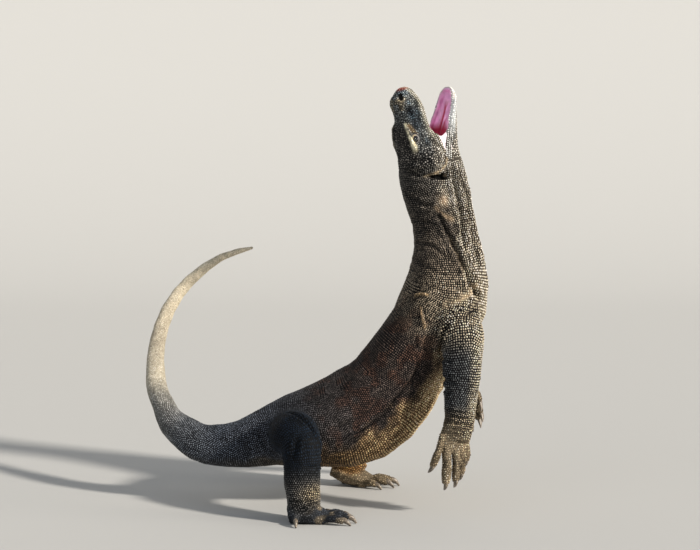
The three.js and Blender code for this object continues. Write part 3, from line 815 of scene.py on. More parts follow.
# pale streaks along ridges and folds of the body: a path as for the folds, width in mm, colour and strength
streakSettings = [
    ([(1538, 94), (1567, 117), (1588, 133)], 9, (250, 220, 180), 0.9),
    ([(1507, 59), (1480, 70), (1464, 78)], 3.2, (226, 190, 146), 0.7),
    ([(1530, 44), (1543, 52), (1548, 62)], 3.6, (214, 180, 134), 0.8),
    ([(1700, 98), (1660, 108), (1621, 119)], 4, (206, 180, 146), 0.5),
    ([(1786, 84), (1762, 96), (1748, 112)], 5, (226, 194, 156), 0.5),
    ([(1868, 97), (1862, 112), (1856, 124)], 4.5, (236, 208, 168), 0.6),
]
streaks = []
for places, width, tint, strength in streakSettings:
    for side in (1, -1):
        path = splined(np.array([onLine("body", s, side * a) for s, a in places]), 5)
        streaks.append((path, width * mm, tint, strength))


def bodyColours(points, s, angle, blotch, fine):
    # scale and gap of the body, from back to belly
    stations = np.array([row[0] for row in bodyTones]) * mm
    above, gapAbove, below, gapBelow = [
        readOff(s, stations, linear([row[k] for row in bodyTones])) for k in (1, 2, 3, 4)]
    wide = 12 * smoothStep(0.95, 1.05, s) * smoothStep(1.36, 1.25, s) + 12 * smoothStep(1.58, 1.66, s)
    under = smoothStep(113, 138, np.abs(angle) + wide + 26 * (blotch - 0.5) + 14 * (fine - 0.5))
    under = under * (1 - 0.5 * smoothStep(0.95, 0.75, s))
    scale = above + (below - above) * under[:, None]
    gap = gapAbove + (gapBelow - gapAbove) * under[:, None]
    # rusty flecks over back and flanks, fading to neck and tail
    fleck = smoothStep(0.5, 0.72, lumps(points, 0.022, 21)) * smoothStep(1.0, 1.1, s)
    blend(scale, rust, fleck * smoothStep(1.62, 1.42, s) * (1 - under) * 0.4)
    # the ridge of the back is painted darker than the sides, painted shade
    ridge = 0.66 + 0.34 * smoothStep(34, 84, np.abs(angle) + 16 * (blotch - 0.5))
    scale *= np.where(s < 0.95, 1, ridge)[:, None]
    for path, width, tint, strength in streaks:
        near, away, _ = nearPath(points, path, width, 3)
        worn = np.exp(-((away / (0.6 + 0.8 * fine[near])) ** 2)) * strength
        scale[near] = blend(scale[near], tint, worn)
        gap[near] = blend(gap[near], tint, worn * 0.8, 0.6)
    # the pale mark on the side of the neck
    pale = np.exp(-(((s - 1.796) / 0.013) ** 2 + ((np.abs(angle) - 103) / 10) ** 2)) * 0.95
    return blend(scale, (255, 238, 210), pale), blend(gap, (180, 150, 120), 0.8 * pale)


def limbMarks(name, points, own, blotch, light, dark):
    s, angle, _ = own
    # forward is the side that faces the key light; it is painted paler, painted light on arms and hands
    forward = smoothStep(76, 30, np.abs(angle))
    if "arm" in name:
        blend(light, (242, 224, 192), 0.8 * forward)
        blend(light, (190, 168, 136), 0.75 * smoothStep(0.215, 0.275, s))
        blend(light, (214, 196, 168), smoothStep(0.12, 0.03, s))
    elif name in hands:
        blend(light, (242, 224, 192), 0.24 * forward)
    elif name == "right_leg":
        blend(light, (128, 124, 118), 0.7 * smoothStep(0.15, 0.22, s))
        patch = np.exp(-(((s - 0.222) / 0.02) ** 2 + ((angle - 45) / 42) ** 2))
        blend(light, (224, 202, 164), 0.85 * patch)
    elif name == "left_leg":
        low = smoothStep(0.125, 0.2, s + 0.03 * (blotch - 0.5))
        blend(light, (196, 146, 88), low)
        blend(dark, (72, 50, 27), low)
    elif name == "right_foot":
        worn = smoothStep(0.45, 0.65, lumps(points, 0.016, 68)) * smoothStep(0.02, 0.06, s)
        blend(light, (184, 166, 138), 0.55 * worn)
        blend(dark, (60, 52, 42), 0.6 * worn)


def stripes(value, pitch, wander):
    return 0.5 + 0.5 * np.cos(value / pitch * 2 * math.pi + wander)


def markings(points):
    # colour of a scale and of the skin between scales at each point
    coordinates = allCoordinates(points)
    share = shares(coordinates)
    s, angle, _ = coordinates["body"]
    blotch = lumps(points, 0.045, 11)
    fine = lumps(points, 0.016, 12)
    scale, gap = [part * share["body"][:, None] for part in bodyColours(points, s, angle, blotch, fine)]
    for name, tones in partTones.items():
        light, dark = [np.broadcast_to(linear(tone), scale.shape).copy() for tone in tones]
        if name == "skull":
            headMarks(points, light, dark)
        elif name == "jaw":
            jawMarks(points, light, dark)
        else:
            limbMarks(name, points, coordinates[name], blotch, light, dark)
        scale += light * share[name][:, None]
        gap += dark * share[name][:, None]
    tone = 0.62 + 0.38 * blotch + 0.34 * (fine - 0.5)
    # the tail's tone is evened and lifted, partly painted light
    tone += (0.92 - tone) * 0.8 * smoothStep(0.76, 0.62, s) * share["body"]
    # the head is mottled in bigger dark and pale patches
    mottle = lumps(points, 0.020, 63) * 0.6 + lumps(points, 0.009, 64) * 0.4
    tone += (0.16 + 1.36 * mottle - tone) * share["skull"]
    tone += (0.95 - tone) * share["jaw"]
    # loose skin of the throat in long pale and dark stripes
    throat = smoothStep(1.60, 1.70, s) * smoothStep(112, 128, np.abs(angle)) * share["body"]
    stripe = stripes(np.abs(angle), 8.5, 7 * (blotch - 0.5))
    # the folds add painted shade in their creases and painted light on their ridges
    tone *= (1 + (0.42 - 0.85 * stripe) * throat) * foldShade(points)
    # bands of scales across the wrist and the fingers
    for name in hands:
        band = stripes(coordinates[name][0], fingerPitch, 4 * (blotch - 0.5))
        tone *= 1 + share[name] * (0.3 - 0.85 * band)
        # painted shade in the creases between the fingers
        tone *= 1 - 0.8 * share[name] * fingerCrease(points, name)
    # the hollow behind the jaw is painted nearly black, painted shade in its depth; its front edge is paler
    edge = np.exp(-((besidePath(points, flap["path"])[0] / flap["worn"]) ** 2)) * 0.75
    blend(scale, (226, 206, 172), edge)
    blend(gap, (140, 120, 94), edge)
    tone += (1 - tone) * edge
    tone *= 1 - 0.96 * smoothStep(hollow["bare"] + 0.2, hollow["bare"], hollowGap(points))
    return scale * tone[:, None], gap * tone[:, None]


# paths over the side of the head, in the skull's own mm
browPath = [(104, 24, 64), (90, 31, 68), (74, 37, 70), (60, 42, 70), (50, 45, 71), (40, 45, 72)]
lidPath = [(98, 30, 59), (86, 36, 57), (76, 41, 54), (70, 43, 52)]
nostrilPath = [(174, 15, 47), (169, 17, 50), (165, 20, 51.5)]
nostrilRadius = 6.2


def pathGap(sided, places):
    return alongPath(sided, np.array(places, float))[0]


def headMarks(points, light, dark):
    sided = headSided(points)
    x, _, z = sided.T
    rightSide = seenFrom(points, skull)[:, 1] < 0

    def mix(tint, amount, gapShare=0.8, gapDim=0.5):
        blend(light, tint, amount)
        blend(dark, tint, amount * gapShare, gapDim)

    # dark snout, brown crown, blue flecks, pale upper lip, dusty jowl
    snout = smoothStep(66, 92, x) * smoothStep(154, 128, x) * smoothStep(66, 46, z) * smoothStep(18, 32, z)
    mix((70, 82, 94), snout * 0.9, 0.1)
    mix((92, 80, 66), smoothStep(54, 72, z) * smoothStep(150, 120, x) * 0.8, 0)
    blue = smoothStep(0.5, 0.7, lumps(points, 0.012, 65)) * smoothStep(70, 50, z)
    mix((150, 176, 192), blue * 0.55, 0)
    mix((206, 200, 182), smoothStep(26, 14, z) * smoothStep(30, 60, x) * 0.8, 0.3)
    mix((190, 172, 140), smoothStep(8, -14, x) * smoothStep(46, 20, z) * 0.6, 0.2)
    # the pale patch over the eye, ragged and weaker on the left, and the lid in front of the eye
    brow, back = alongPath(sided, np.array(browPath, float))
    broad = 3.4 + 5.0 * smoothStep(0.35, 0.9, back)
    ragged = broad * (0.7 + 0.6 * lumps(points, 0.005, 61))
    patch = np.exp(-((brow / ragged) ** 4)) * np.where(rightSide, 1, 0.25)
    mix((255, 246, 212), patch, 0.95, 0.8)
    mix((170, 126, 80), patch * smoothStep(0.66, 0.84, lumps(points, 0.004, 66)) * 0.5, 1)
    mix((206, 174, 130), np.exp(-((pathGap(sided, lidPath) / 5) ** 2)) * 0.85, 0.5)
    # sore tip, dust on the snout, rim of the nostril, and its inside painted near-black, painted shade in the
    # hole
    sore = smoothStep(180, 187, x) * smoothStep(0.25, 0.5, lumps(points, 0.01, 62))
    mix((228, 122, 104), sore * 0.9)
    dusty = smoothStep(0.42, 0.62, lumps(points, 0.015, 67)) * smoothStep(44, 60, z) * smoothStep(126, 140, x)
    mix((176, 156, 118), dusty * 0.6, 0.15)
    nostril = pathGap(sided, nostrilPath)
    rim = np.exp(-(((nostril - 7.6) / 2) ** 2)) * smoothStep(176, 162, x)
    mix((216, 198, 164), rim * 0.85, 0.6)
    # painted shade inside the nostril
    mix((14, 10, 9), smoothStep(nostrilRadius, nostrilRadius - 1.4, nostril), 1)


def jawMarks(points, light, dark):
    x, _, z = (seenFrom(points, jaw) / mm).T
    low = smoothStep(-24, -38, z)
    blend(light, (206, 186, 152), 0.85 * low)
    blend(dark, (62, 52, 42), 0.85 * low)
    tip = smoothStep(138, 156, x)
    blend(light, (250, 246, 238), tip)
    blend(dark, (196, 190, 184), tip)
    grey = smoothStep(0.45, 0.75, lumps(points, 0.014, 31)) * smoothStep(-24, -12, z) * (1 - tip)
    grey += smoothStep(60, 20, x) * (1 - low) * 0.9
    blend(light, (122, 140, 148), 0.6 * np.clip(grey, 0, 1))


def liningColour(points):
    a, b, _, lower = mouthWidths(points)
    # the lining is painted paler than its own pink, painted light for the light that comes through the thin jaw
    colour = np.broadcast_to(linear((238, 184, 222)), (len(points), 3)).copy()
    side = np.abs(b[:, 1])
    blend(colour, (240, 200, 224), smoothStep(0.4, 0.8, lumps(points, 0.012, 41)) * 0.7)
    # a groove in the shape of a U inside the lip, and sore red patches along the middle
    groove = np.exp(-(((side - (lower - 15)) / 3) ** 2)) * smoothStep(160, 140, b[:, 0])
    blend(colour, (196, 108, 156), groove * 0.75)
    streak = smoothStep(0.42, 0.75, lumps(b * [0.22, 1, 1] * mm, 0.006, 42))
    middle = smoothStep(20, 4, side) * smoothStep(20, 60, b[:, 0]) * smoothStep(150, 120, b[:, 0])
    blend(colour, (172, 40, 66), streak * middle)
    blend(colour, (238, 196, 216), smoothStep(lower - 13, lower - 8, side) * 0.7)
    # deep red throat between the pale webs of the corners
    back = smoothStep(64, 44, a[:, 0])
    blend(colour, (152, 22, 54), smoothStep(46, 36, np.abs(a[:, 1])) * back * 0.97)
    blend(colour, (240, 226, 232), smoothStep(42, 48, np.abs(a[:, 1])) * back * 0.95)
    return colour


def paint(mesh, colour):
    layer = mesh.color_attributes.new("hideColour", "FLOAT_COLOR", "POINT")
    values = np.ones((len(mesh.vertices), 4))
    values[:, :3] = np.clip(colour, 0, 1)
    layer.data.foreach_set("color", values.ravel())


where = positions(skin.data)
scaleTone, gapTone = markings(where)
lined = liningShare(where)
# bare folds of the head and paws show the colour of their own hide
share = shares(allCoordinates(where))
bareShare = np.clip(sum(share[name] for name in pawPlace) * 0.35 + share["skull"] * 0.1, 0, 1)
hide = gapTone + (scaleTone - gapTone) * bareShare[:, None]
paint(skin.data, np.where(lined[:, None], liningColour(where), hide))
makeActive(skin)
bpy.ops.object.shade_smooth()
wetness = skin.data.attributes.new("wet", "FLOAT", "POINT")
wetness.data.foreach_set("value", lined.astype(float))
print("skin painted")


# scales
chance = np.random.default_rng(7)
beadSettings = {
    "sides": 6,
    "shoulder": 0.64,  # width of the crown, against the foot
    "crown": 0.62,  # height of the crown, against the top
    "sink": 0.6,  # how far the foot is below the skin, against the height
    "patch": 0.003,
    "limit": 8600,  # scales in one piece
    # how much of the scale's own colour shows at foot, crown and top: most scales have a painted highlight on
    # top and painted shade at the foot; worn ones a dark top, partly painted shade, with a dusty rim
    "paintedHighlight": (0.02, 0.40, 2.05),
    "worn": (0.35, 0.95, 0.22),
}


def beadTemplate():
    sides = beadSettings["sides"]
    turn = np.arange(sides) / sides * 2 * math.pi + math.pi / 6
    ring = np.stack([np.cos(turn), np.sin(turn)], 1)
    foot = np.column_stack([ring, np.full(sides, -beadSettings["sink"])])
    crown = np.column_stack([ring * beadSettings["shoulder"], np.full(sides, beadSettings["crown"])])
    return np.vstack([foot, crown, [[0, -0.12, 1.0]]])


def beadFaces():
    n = beadSettings["sides"]
    faces = [(i, (i + 1) % n, n + (i + 1) % n, n + i) for i in range(n)]
    faces += [(n + i, n + (i + 1) % n, 2 * n) for i in range(n)]
    faces.append(tuple(range(n - 1, -1, -1)))
    return faces


def evenUnwrap(u, v):
    # columns of the same number of scales across u, each spread evenly along v
    columns = max(1, int(math.ceil(math.sqrt(len(u)))))
    order = np.argsort(u, kind="stable")
    column = np.empty(len(u), int)
    column[order] = np.arange(len(u)) * columns // len(u)
    out = np.empty((len(u), 2))
    for c in range(columns):
        own = np.where(column == c)[0]
        rank = np.argsort(np.argsort(v[own], kind="stable"), kind="stable")
        out[own, 0] = (c + 0.5) / columns
        out[own, 1] = (rank + 0.5) / max(1, len(own))
    return 0.01 + 0.98 * out


def makeBeads(name, beads):
    # beads: root, normal, along, half width, half length, height, u, v, colour of scale and gap
    template = beadTemplate()
    faces = beadFaces()
    count, size = len(beads["root"]), len(template)
    normal = unit(beads["normal"])
    along = unit(beads["along"] - normal * (beads["along"] * normal).sum(1)[:, None])
    across = np.cross(along, normal)
    verts = beads["root"][:, None]
    for k, (way, reach) in enumerate(((across, "wide"), (along, "long"), (normal, "high"))):
        verts = verts + way[:, None] * (template[None, :, k:k + 1] * beads[reach][:, None, None])
    mesh = bpy.data.meshes.new(name)
    mesh.vertices.add(count * size)
    mesh.vertices.foreach_set("co", verts.ravel())
    corners = np.concatenate(faces)
    starts = np.cumsum([0] + [len(face) for face in faces[:-1]])
    repeat = np.arange(count)[:, None]
    allCorners = (corners + repeat * size).ravel().astype(np.int32)
    allStarts = (starts + repeat * len(corners)).ravel().astype(np.int32)
    mesh.loops.add(len(allCorners))
    mesh.loops.foreach_set("vertex_index", allCorners)
    mesh.polygons.add(len(allStarts))
    mesh.polygons.foreach_set("loop_start", allStarts)
    mesh.polygons.foreach_set("use_smooth", np.ones(len(allStarts), bool))
    mesh.update(calc_edges=True)
    mesh.validate()
    centre = evenUnwrap(beads["u"], beads["v"])
    local = template[corners][:, :2] * beadSettings["patch"] / 2
    uv = (centre[:, None] + local[None]).reshape(-1, 2)
    mesh.uv_layers.new(name="OFBake").data.foreach_set("uv", uv.ravel())
    rings = (beadSettings["sides"], beadSettings["sides"], 1)
    paintedHighlight, worn = [np.repeat(beadSettings[kind], rings) for kind in ("paintedHighlight", "worn")]
    weight = paintedHighlight + (worn - paintedHighlight) * beads["worn"][:, None]
    colour = beads["gap"][:, None] + (beads["scale"] - beads["gap"])[:, None] * weight[:, :, None]
    paint(mesh, colour.reshape(-1, 3))
    return addObject(name, mesh)


rowSettings = {
    "station": 3.5 * mm,  # between the rings of rays that find the skin
    "advance": 0.88,  # from row to row, against the pitch
    "jump": 0.022,  # a wider step between two rays is the edge of another limb
    "crowded": 0.62,  # below this share of the pitch every second row is left out
    "stretched": 2.4,  # above this one the row is on a fold's steep side
    "jitter": (0.07, 0.06),  # round the line and along it
    "fewest": 4,
}


def skinGrid(line, stations, angles, slack):
    # the skin round a line, where rays from it meet it
    grid = np.full((len(stations), len(angles), 3), np.nan)
    for i, s in enumerate(stations):
        point, up, side = lineAt(line, s)
        limit = np.interp(s, line["s"], line["reach"]) * slack + 4 * mm
        for j, a in enumerate(angles):
            way = math.cos(a) * unit(up) + math.sin(a) * unit(side)
            hit = skinTree.ray_cast(Vector(point), Vector(way), limit)[0]
            if hit is not None:
                grid[i, j] = hit
    return grid


def beadRows(line, pitchAt, fromS, toS, slack, rays=96, warp=0.0):
    # rows of scales round a line, on the skin, left out where the skin belongs to another limb
    stations = np.linspace(fromS, toS, int((toS - fromS) / rowSettings["station"]) + 2)
    angles = np.arange(rays) / rays * 2 * math.pi
    grid = skinGrid(line, stations, angles, slack)
    column = np.arange(rays)

    def sample(at):
        place = np.clip((at - fromS) / (toS - fromS) * (len(stations) - 1), 0, len(stations) - 1.001)
        low = place.astype(int)
        part = (place - low)[:, None]
        return grid[low, column] * (1 - part) + grid[low + 1, column] * part

    rows = [fromS + 0.002]
    while rows[-1] < toS - 0.002:
        rows.append(rows[-1] + pitchAt(rows[-1]) * rowSettings["advance"])
    number = 0
    out = []
    for i, s in enumerate(rows):
        pitch = pitchAt(s)
        circle = np.stack([np.cos(angles), np.sin(angles), angles * 0 + s * 9], 1)
        at = s + warp * (lumps(circle, 0.55, 71) - 0.5)
        ring = sample(at)
        step = 0.5 * pitch
        ahead = sample(np.clip(at + step, fromS, toS)) - sample(np.clip(at - step, fromS, toS))
        spacing = np.linalg.norm(ahead, axis=1) * rowSettings["advance"]
        gaps = np.linalg.norm(np.roll(ring, -1, axis=0) - ring, axis=1)
        broken = np.isnan(gaps) | (gaps > rowSettings["jump"])
        length = np.where(broken, 0.0, gaps)
        total = np.concatenate([[0], np.cumsum(length)])
        wanted = int(total[-1] / pitch)
        if wanted < rowSettings["fewest"]:
            continue
        # rows keep the number of the row before while it fits, so that the scales stand in quincunx
        if abs(wanted - number) > 0.06 * number + 0.5:
            number = wanted
        shake, slide = [chance.normal(0, amount, number) for amount in rowSettings["jitter"]]
        spot = np.mod((np.arange(number) + 0.5 * (i % 2) + shake) * total[-1] / number, total[-1])
        cell = np.clip(np.searchsorted(total, spot, side="right") - 1, 0, rays - 1)
        part = ((spot - total[cell]) / np.maximum(length[cell], 1e-9))[:, None]
        after = (cell + 1) % rays
        root = ring[cell] + (ring[after] - ring[cell]) * part
        way = ahead[cell] + (ahead[after] - ahead[cell]) * part
        local = spacing[cell]
        good = ~(broken[cell] | np.isnan(root).any(1) | np.isnan(way).any(1) | np.isnan(local))
        good &= local < pitch * rowSettings["stretched"]
        crowded = local < pitch * rowSettings["crowded"]
        good &= ~(crowded & (i % 2 == 1))
        local = np.where(crowded, local * 1.8, local)
        root = root + way / np.maximum(np.linalg.norm(way, axis=1), 1e-9)[:, None] * (slide * pitch)[:, None]
        found = (root, way, np.full(number, total[-1] / number * 0.5),
                 np.clip(local * 0.56, pitch * 0.3, pitch * 0.8), np.full(number, s), spot / total[-1])
        out.append([values[good] for values in found])
    # root, along, half width, half length, place along the line and round it
    return [np.concatenate(values) for values in zip(*out)]


taken = {"points": np.zeros((0, 3)), "size": np.zeros(0)}


def clearOfTaken(roots, sizes, share):
    # which scales stand clear of all those set before
    if not len(taken["points"]):
        return np.ones(len(roots), bool)
    tree = KDTree(len(taken["points"]))
    for i, p in enumerate(taken["points"]):
        tree.insert(p, i)
    tree.balance()
    keep = np.ones(len(roots), bool)
    for i, p in enumerate(roots):
        _, j, distance = tree.find(p)
        keep[i] = distance > (sizes[i] + taken["size"][j]) * share
    return keep


eyeClear = {"at": (63, 58), "half": (13, 11.5), "inner": 20}
coatPieces = []


def inOpening(points):
    sided = headSided(points)
    eye = np.hypot(*((sided[:, ::2] - eyeClear["at"]) / eyeClear["half"]).T)
    atEye = (eye < 1) & (sided[:, 1] > eyeClear["inner"])
    return (pathGap(sided, nostrilPath) < nostrilRadius) | (hollowGap(points) < hollow["bare"]) | atEye


coatSettings = {
    "slid": 0.006,  # a scale that slid further sat over a fold or a limb's edge
    "floor": 0.0012,
    "dull": (0.12, 0.45),  # the share of dull scales and their tone
    "size": 0.07,
    "tilt": 0.07,
    "height": 0.15,
    "tones": (0.25, 1.8),
}


def finishBeads(name, root, along, wide, long, u, v, height, fill=0.93, cull=0.85, tint=None, spread=0.28):
    found = [skinTree.find_nearest(Vector(p)) for p in root]
    placedOn, normal = [np.array([hit[k] for hit in found]) for k in (0, 1)]
    keep = np.linalg.norm(placedOn - root, axis=1) < coatSettings["slid"]
    keep &= placedOn[:, 2] > coatSettings["floor"]
    keep &= ~liningShare(placedOn + normal * mm)
    keep &= ~inOpening(placedOn)
    keep &= clearOfTaken(placedOn, (wide + long) / 2, cull)
    root, along, wide, long, u, v, normal = [a[keep] for a in (placedOn, along, wide, long, u, v, normal)]
    taken["points"] = np.vstack([taken["points"], root])
    taken["size"] = np.concatenate([taken["size"], (wide + long) / 2])
    scale, gap = markings(root)
    if tint is not None:
        blend(scale, tint[0], np.full(len(root), tint[1]))
    # no two scales are quite the same tone: most near their ground, some dark, a few pale
    tone = np.exp(chance.normal(0, spread, len(root)))
    dullShare, dullTone = coatSettings["dull"]
    tone = np.where(chance.random(len(root)) < dullShare, tone * dullTone, tone)
    size = 1 + chance.normal(0, coatSettings["size"], len(root))
    # some scales are dark on top with a dusty rim, most of them on back and neck: the rim is dust, the dark top
    # partly painted shade
    worn = smoothStep(0.42, 0.62, lumps(root, 0.03, 69) + chance.normal(0, 0.16, len(root)))
    s, angle, _ = bodyCoordinates(root, lines["body"])
    worn *= smoothStep(0.98, 1.1, s) * smoothStep(128, 96, np.abs(angle)) * (0.8 if "body" in name else 0.25)
    normal = normal + chance.normal(0, coatSettings["tilt"], root.shape)
    high = height * (wide + long) * (1 + chance.normal(0, coatSettings["height"], len(root)))
    beads = {"worn": worn, "root": root, "normal": normal, "along": along, "wide": wide * fill * size,
             "long": long * fill * size, "high": high * (0.55 + 0.45 * smoothStep(0.55, 0.75, s)),
             "u": u, "v": v, "scale": scale * np.clip(tone, *coatSettings["tones"])[:, None], "gap": gap}
    parts = int(math.ceil(len(root) / beadSettings["limit"]))
    cuts = np.quantile(u, np.linspace(0, 1, parts + 1))
    for k in range(parts):
        own = (u >= cuts[k]) & ((u < cuts[k + 1]) if k + 1 < parts else (u <= cuts[k + 1]))
        title = f"{name}_{k + 1}" if parts > 1 else name
        coatPieces.append(makeBeads(title, {key: value[own] for key, value in beads.items()}))
    print(name, len(root), "scales in", parts, "pieces")


# scale pitch in mm at places along the body in mm
bodyPitch = [(0, 3.0), (150, 3.5), (400, 4.3), (650, 5.0), (900, 5.4), (1100, 5.5), (1450, 5.7), (1550, 5.9),
             (1700, 5.8), (1830, 5.5), (1900, 5.1)]


def bodyPitchAt(s):
    return np.interp(s / mm, *zip(*bodyPitch)) * mm


def lipPath(place, heights, toX, fromX, side):
    # the skin along a lip, from the tip of the snout back to the corner of the mouth
    bend = 36  # how far behind the tip the snout starts to round
    middle = toX - bend
    ways = [(middle, a) for a in np.linspace(0, 90, 22)]
    ways += [(x, 90) for x in np.linspace(middle, fromX, 50)[1:]]
    path = []
    for x, angle in ways:
        a = math.radians(angle)
        way = np.array([math.cos(a), side * math.sin(a), 0])
        z = np.interp(x + bend * math.cos(a), *heights)
        start = placed((np.array([x, 0, z]) + way * 130) * mm, place)[0]
        hit = skinTree.ray_cast(Vector(start), Vector(-(way @ place["axes"])), 0.14)[0]
        if hit is not None:
            path.append(np.array(hit))
    path = np.array(path)
    for _ in range(2):
        path[1:-1] = (path[:-2] + path[1:-1] * 2 + path[2:]) / 4
    return path


def resampled(path, spacing):
    length = lengthAlong(path)
    return readOff(np.arange(spacing / 2, length[-1], spacing), length, path)


# plates along the lips: which part, height against the bite at places along it, from where to where,
# spacing, half sizes, and the tint with its strength
upperLip = ([-10, 27, 97, 139, 160, 178, 187], np.array([-4, -3, 0, 1, 6, 13, 22]))
lowerLip = ([-10, 60, 157, 175], np.array([-6, -6, -10, -12]))
cream, chalk = (222, 212, 188), (244, 245, 240)
lipSettings = [
    ("upper_lip_1", skull, upperLip, 0, 184, 2, 5.4, (2.6, 3.1), (cream, 0.75)),
    ("upper_lip_2", skull, upperLip, 6.5, 184, 0, 5.0, (2.4, 3.0), (cream, 0.65)),
    ("upper_lip_3", skull, upperLip, 12.5, 182, 0, 4.8, (2.3, 2.8), (cream, 0.5)),
    ("lower_lip_1", jaw, lowerLip, 0, 174, -4, 5.6, (2.9, 3.4), (chalk, 0.9)),
    ("lower_lip_2", jaw, lowerLip, -6.6, 173, -8, 5.2, (2.7, 3.4), (chalk, 0.8)),
    ("lower_lip_3", jaw, lowerLip, -13, 171, -8, 5.0, (2.6, 3.2), (chalk, 0.65)),
]
for name, place, (at, heights), rise, toX, fromX, spacing, (wide, long), tint in lipSettings:
    for side in (-1, 1):
        path = resampled(lipPath(place, (at, heights + rise), toX, fromX, side), spacing * mm)
        count = len(path)
        up = np.broadcast_to(place["axes"][2], path.shape)
        halves = [np.full(count, half * mm) for half in (wide, long)]
        finishBeads(f"{name}_{'right' if side < 0 else 'left'}", path, up, *halves, np.arange(count) * 1.0,
                    np.zeros(count), height=0.16, fill=1.0, tint=tint, spread=0.2 if place is jaw else 0.4)

# scale pitch in mm at the top and at the end of a limb
limbPitch = {"right_arm": (6.6, 5.4), "left_arm": (6.6, 5.4), "right_leg": (6.0, 5.6), "left_leg": (6.0, 5.6)}
for name, (high, low) in limbPitch.items():
    end = lines[name]["s"][-1]
    rows = beadRows(lines[name], lambda s: (high + (low - high) * s / end) * mm, 0.010, end, 1.25, 72, 0.010)
    # where a limb leaves the body its inner side is inside the trunk, so the trunk's own scales take over
    keep = bodyCoordinates(rows[0], lines["body"])[2] > 0.97
    finishBeads("scales_" + name, *[part[keep] for part in rows], height=0.2)

rows = beadRows(lines["body"], bodyPitchAt, 0.004, lines["body"]["s"][-1] + 0.004, 1.17, 96, 0.014)
finishBeads("scales_body", *rows, height=0.19)


def scatter(belongs, spacing, tries, onlyClear=False):
    # random places on the skin, none nearer than its own spacing to another
    mesh = skin.data
    mesh.calc_loop_triangles()
    corners = np.empty(len(mesh.loop_triangles) * 3, np.int32)
    mesh.loop_triangles.foreach_get("vertices", corners)
    triangles = positions(mesh)[corners.reshape(-1, 3)]
    a, b, c = triangles[belongs(triangles.mean(1))].transpose(1, 0, 2)
    area = np.linalg.norm(np.cross(b - a, c - a), axis=1) / 2
    pick = chance.choice(len(area), tries, p=area / area.sum())
    r1, r2 = np.sqrt(chance.random(tries)), chance.random(tries)
    spots = a[pick] * (1 - r1)[:, None] + b[pick] * (r1 * (1 - r2))[:, None] + c[pick] * (r1 * r2)[:, None]
    gap = spacing(spots)
    if onlyClear:
        free = clearOfTaken(spots, gap * 0.5, 0.72)
        spots, gap = spots[free], gap[free]
    around = [(x, y, z) for x in (-1, 0, 1) for y in (-1, 0, 1) for z in (-1, 0, 1)]
    cells = (spots // gap.max()).astype(int).tolist()
    grid = {}
    kept = []
    for i, (x, y, z) in enumerate(cells):
        near = [j for dx, dy, dz in around for j in grid.get((x + dx, y + dy, z + dz), ())]
        if (((spots[near] - spots[i]) ** 2).sum(1) < (0.5 * (gap[i] + gap[near])) ** 2).any():
            continue
        grid.setdefault((x, y, z), []).append(i)
        kept.append(i)
    return spots[kept], gap[kept]


aboveFloor = 0.003


def leftBare(points):
    return ~inOpening(points) & ~liningShare(points)


def headOwns(points):
    aboveNeck = (points - lines["body"]["point"][-1]) @ lines["body"]["along"][-1] > -0.003
    return aboveNeck & (points[:, 2] > 0.8) & leftBare(points)


def headSpacing(points):
    x = seenFrom(points, skull)[:, 0] / mm
    return np.interp(x, [-50, 0, 60, 120, 185], [5.6, 5.6, 5.0, 4.8, 4.2]) * mm


def pawOwns(name):
    limb = lines[name.replace("foot", "leg").replace("hand", "arm")]

    def owns(points):
        share = shares(allCoordinates(points))
        beyond = (points - limb["point"][-1]) @ limb["along"][-1] > -0.004
        near = np.linalg.norm(points - pawPlace[name]["origin"], axis=1) < pawReach
        return near & (beyond | (share[name] > 0.6)) & (points[:, 2] > aboveFloor)
    return owns


def even(pitch):
    return lambda points: np.full(len(points), pitch * mm)


def scatterBeads(name, place, belongs, spacing, tries, half, **finish):
    spots, gap = scatter(belongs, spacing, tries)
    local = seenFrom(spots, place)
    along = np.broadcast_to(place["axes"][0], spots.shape)
    finishBeads(name, spots, along, gap * half, gap * half, local[:, 0], np.arctan2(local[:, 1], local[:, 2]),
                cull=0.8, **finish)


scatterBeads("scales_head", skull, headOwns, headSpacing, 70000, 0.53, height=0.2, fill=0.94, spread=0.75)
for name, place in pawPlace.items():
    scatterBeads("scales_" + name, place, pawOwns(name), even(4.9), 24000, 0.55, height=0.18, spread=0.36)

# the seams between the rows of two limbs are filled with small scales
spots, gap = scatter(lambda p: leftBare(p) & (p[:, 2] > aboveFloor), even(5.2), 90000, onlyClear=True)
upwards = np.broadcast_to((0, 0, 1.0), spots.shape)
finishBeads("scales_between", spots, upwards, gap * 0.5, gap * 0.5, spots[:, 0], spots[:, 2],
            height=0.19, cull=0.62)
print("scales in all:", len(taken["points"]))


# tubes of rings: claws with closed ends, lids with the last ring joined to the first
def ringPiece(name, rings, loop=False):
    rings = np.array(rings)
    count, sides = rings.shape[:2]
    faces = []
    for r in range(count if loop else count - 1):
        after = (r + 1) % count
        for k in range(sides):
            turned = (k + 1) % sides
            faces.append((r * sides + k, r * sides + turned, after * sides + turned, after * sides + k))
    if not loop:
        faces.append(tuple(range(sides - 1, -1, -1)))
        faces.append(tuple((count - 1) * sides + k for k in range(sides)))
    mesh = bpy.data.meshes.new(name)
    mesh.from_pydata(rings.reshape(-1, 3).tolist(), [], faces)
    mesh.validate()
    piece = addObject(name, mesh)
    editAll(bpy.ops.mesh.normals_make_consistent, inside=False)
    bpy.ops.object.shade_smooth()
    return piece


clawSettings = {
    "sides": 14,
    "rings": 14,
    "root": 7.0,  # radius in mm, and how deep the root is in the finger
    "bury": 7.0,
    "tip": 0.35,
    "taper": 0.62,
    "flat": (0.82, 1.05),  # width and height against the radius
    "bow": 0.16,
    "lowest": (1.6 * mm, 0.2 * mm),  # of the middle and of the horn
}


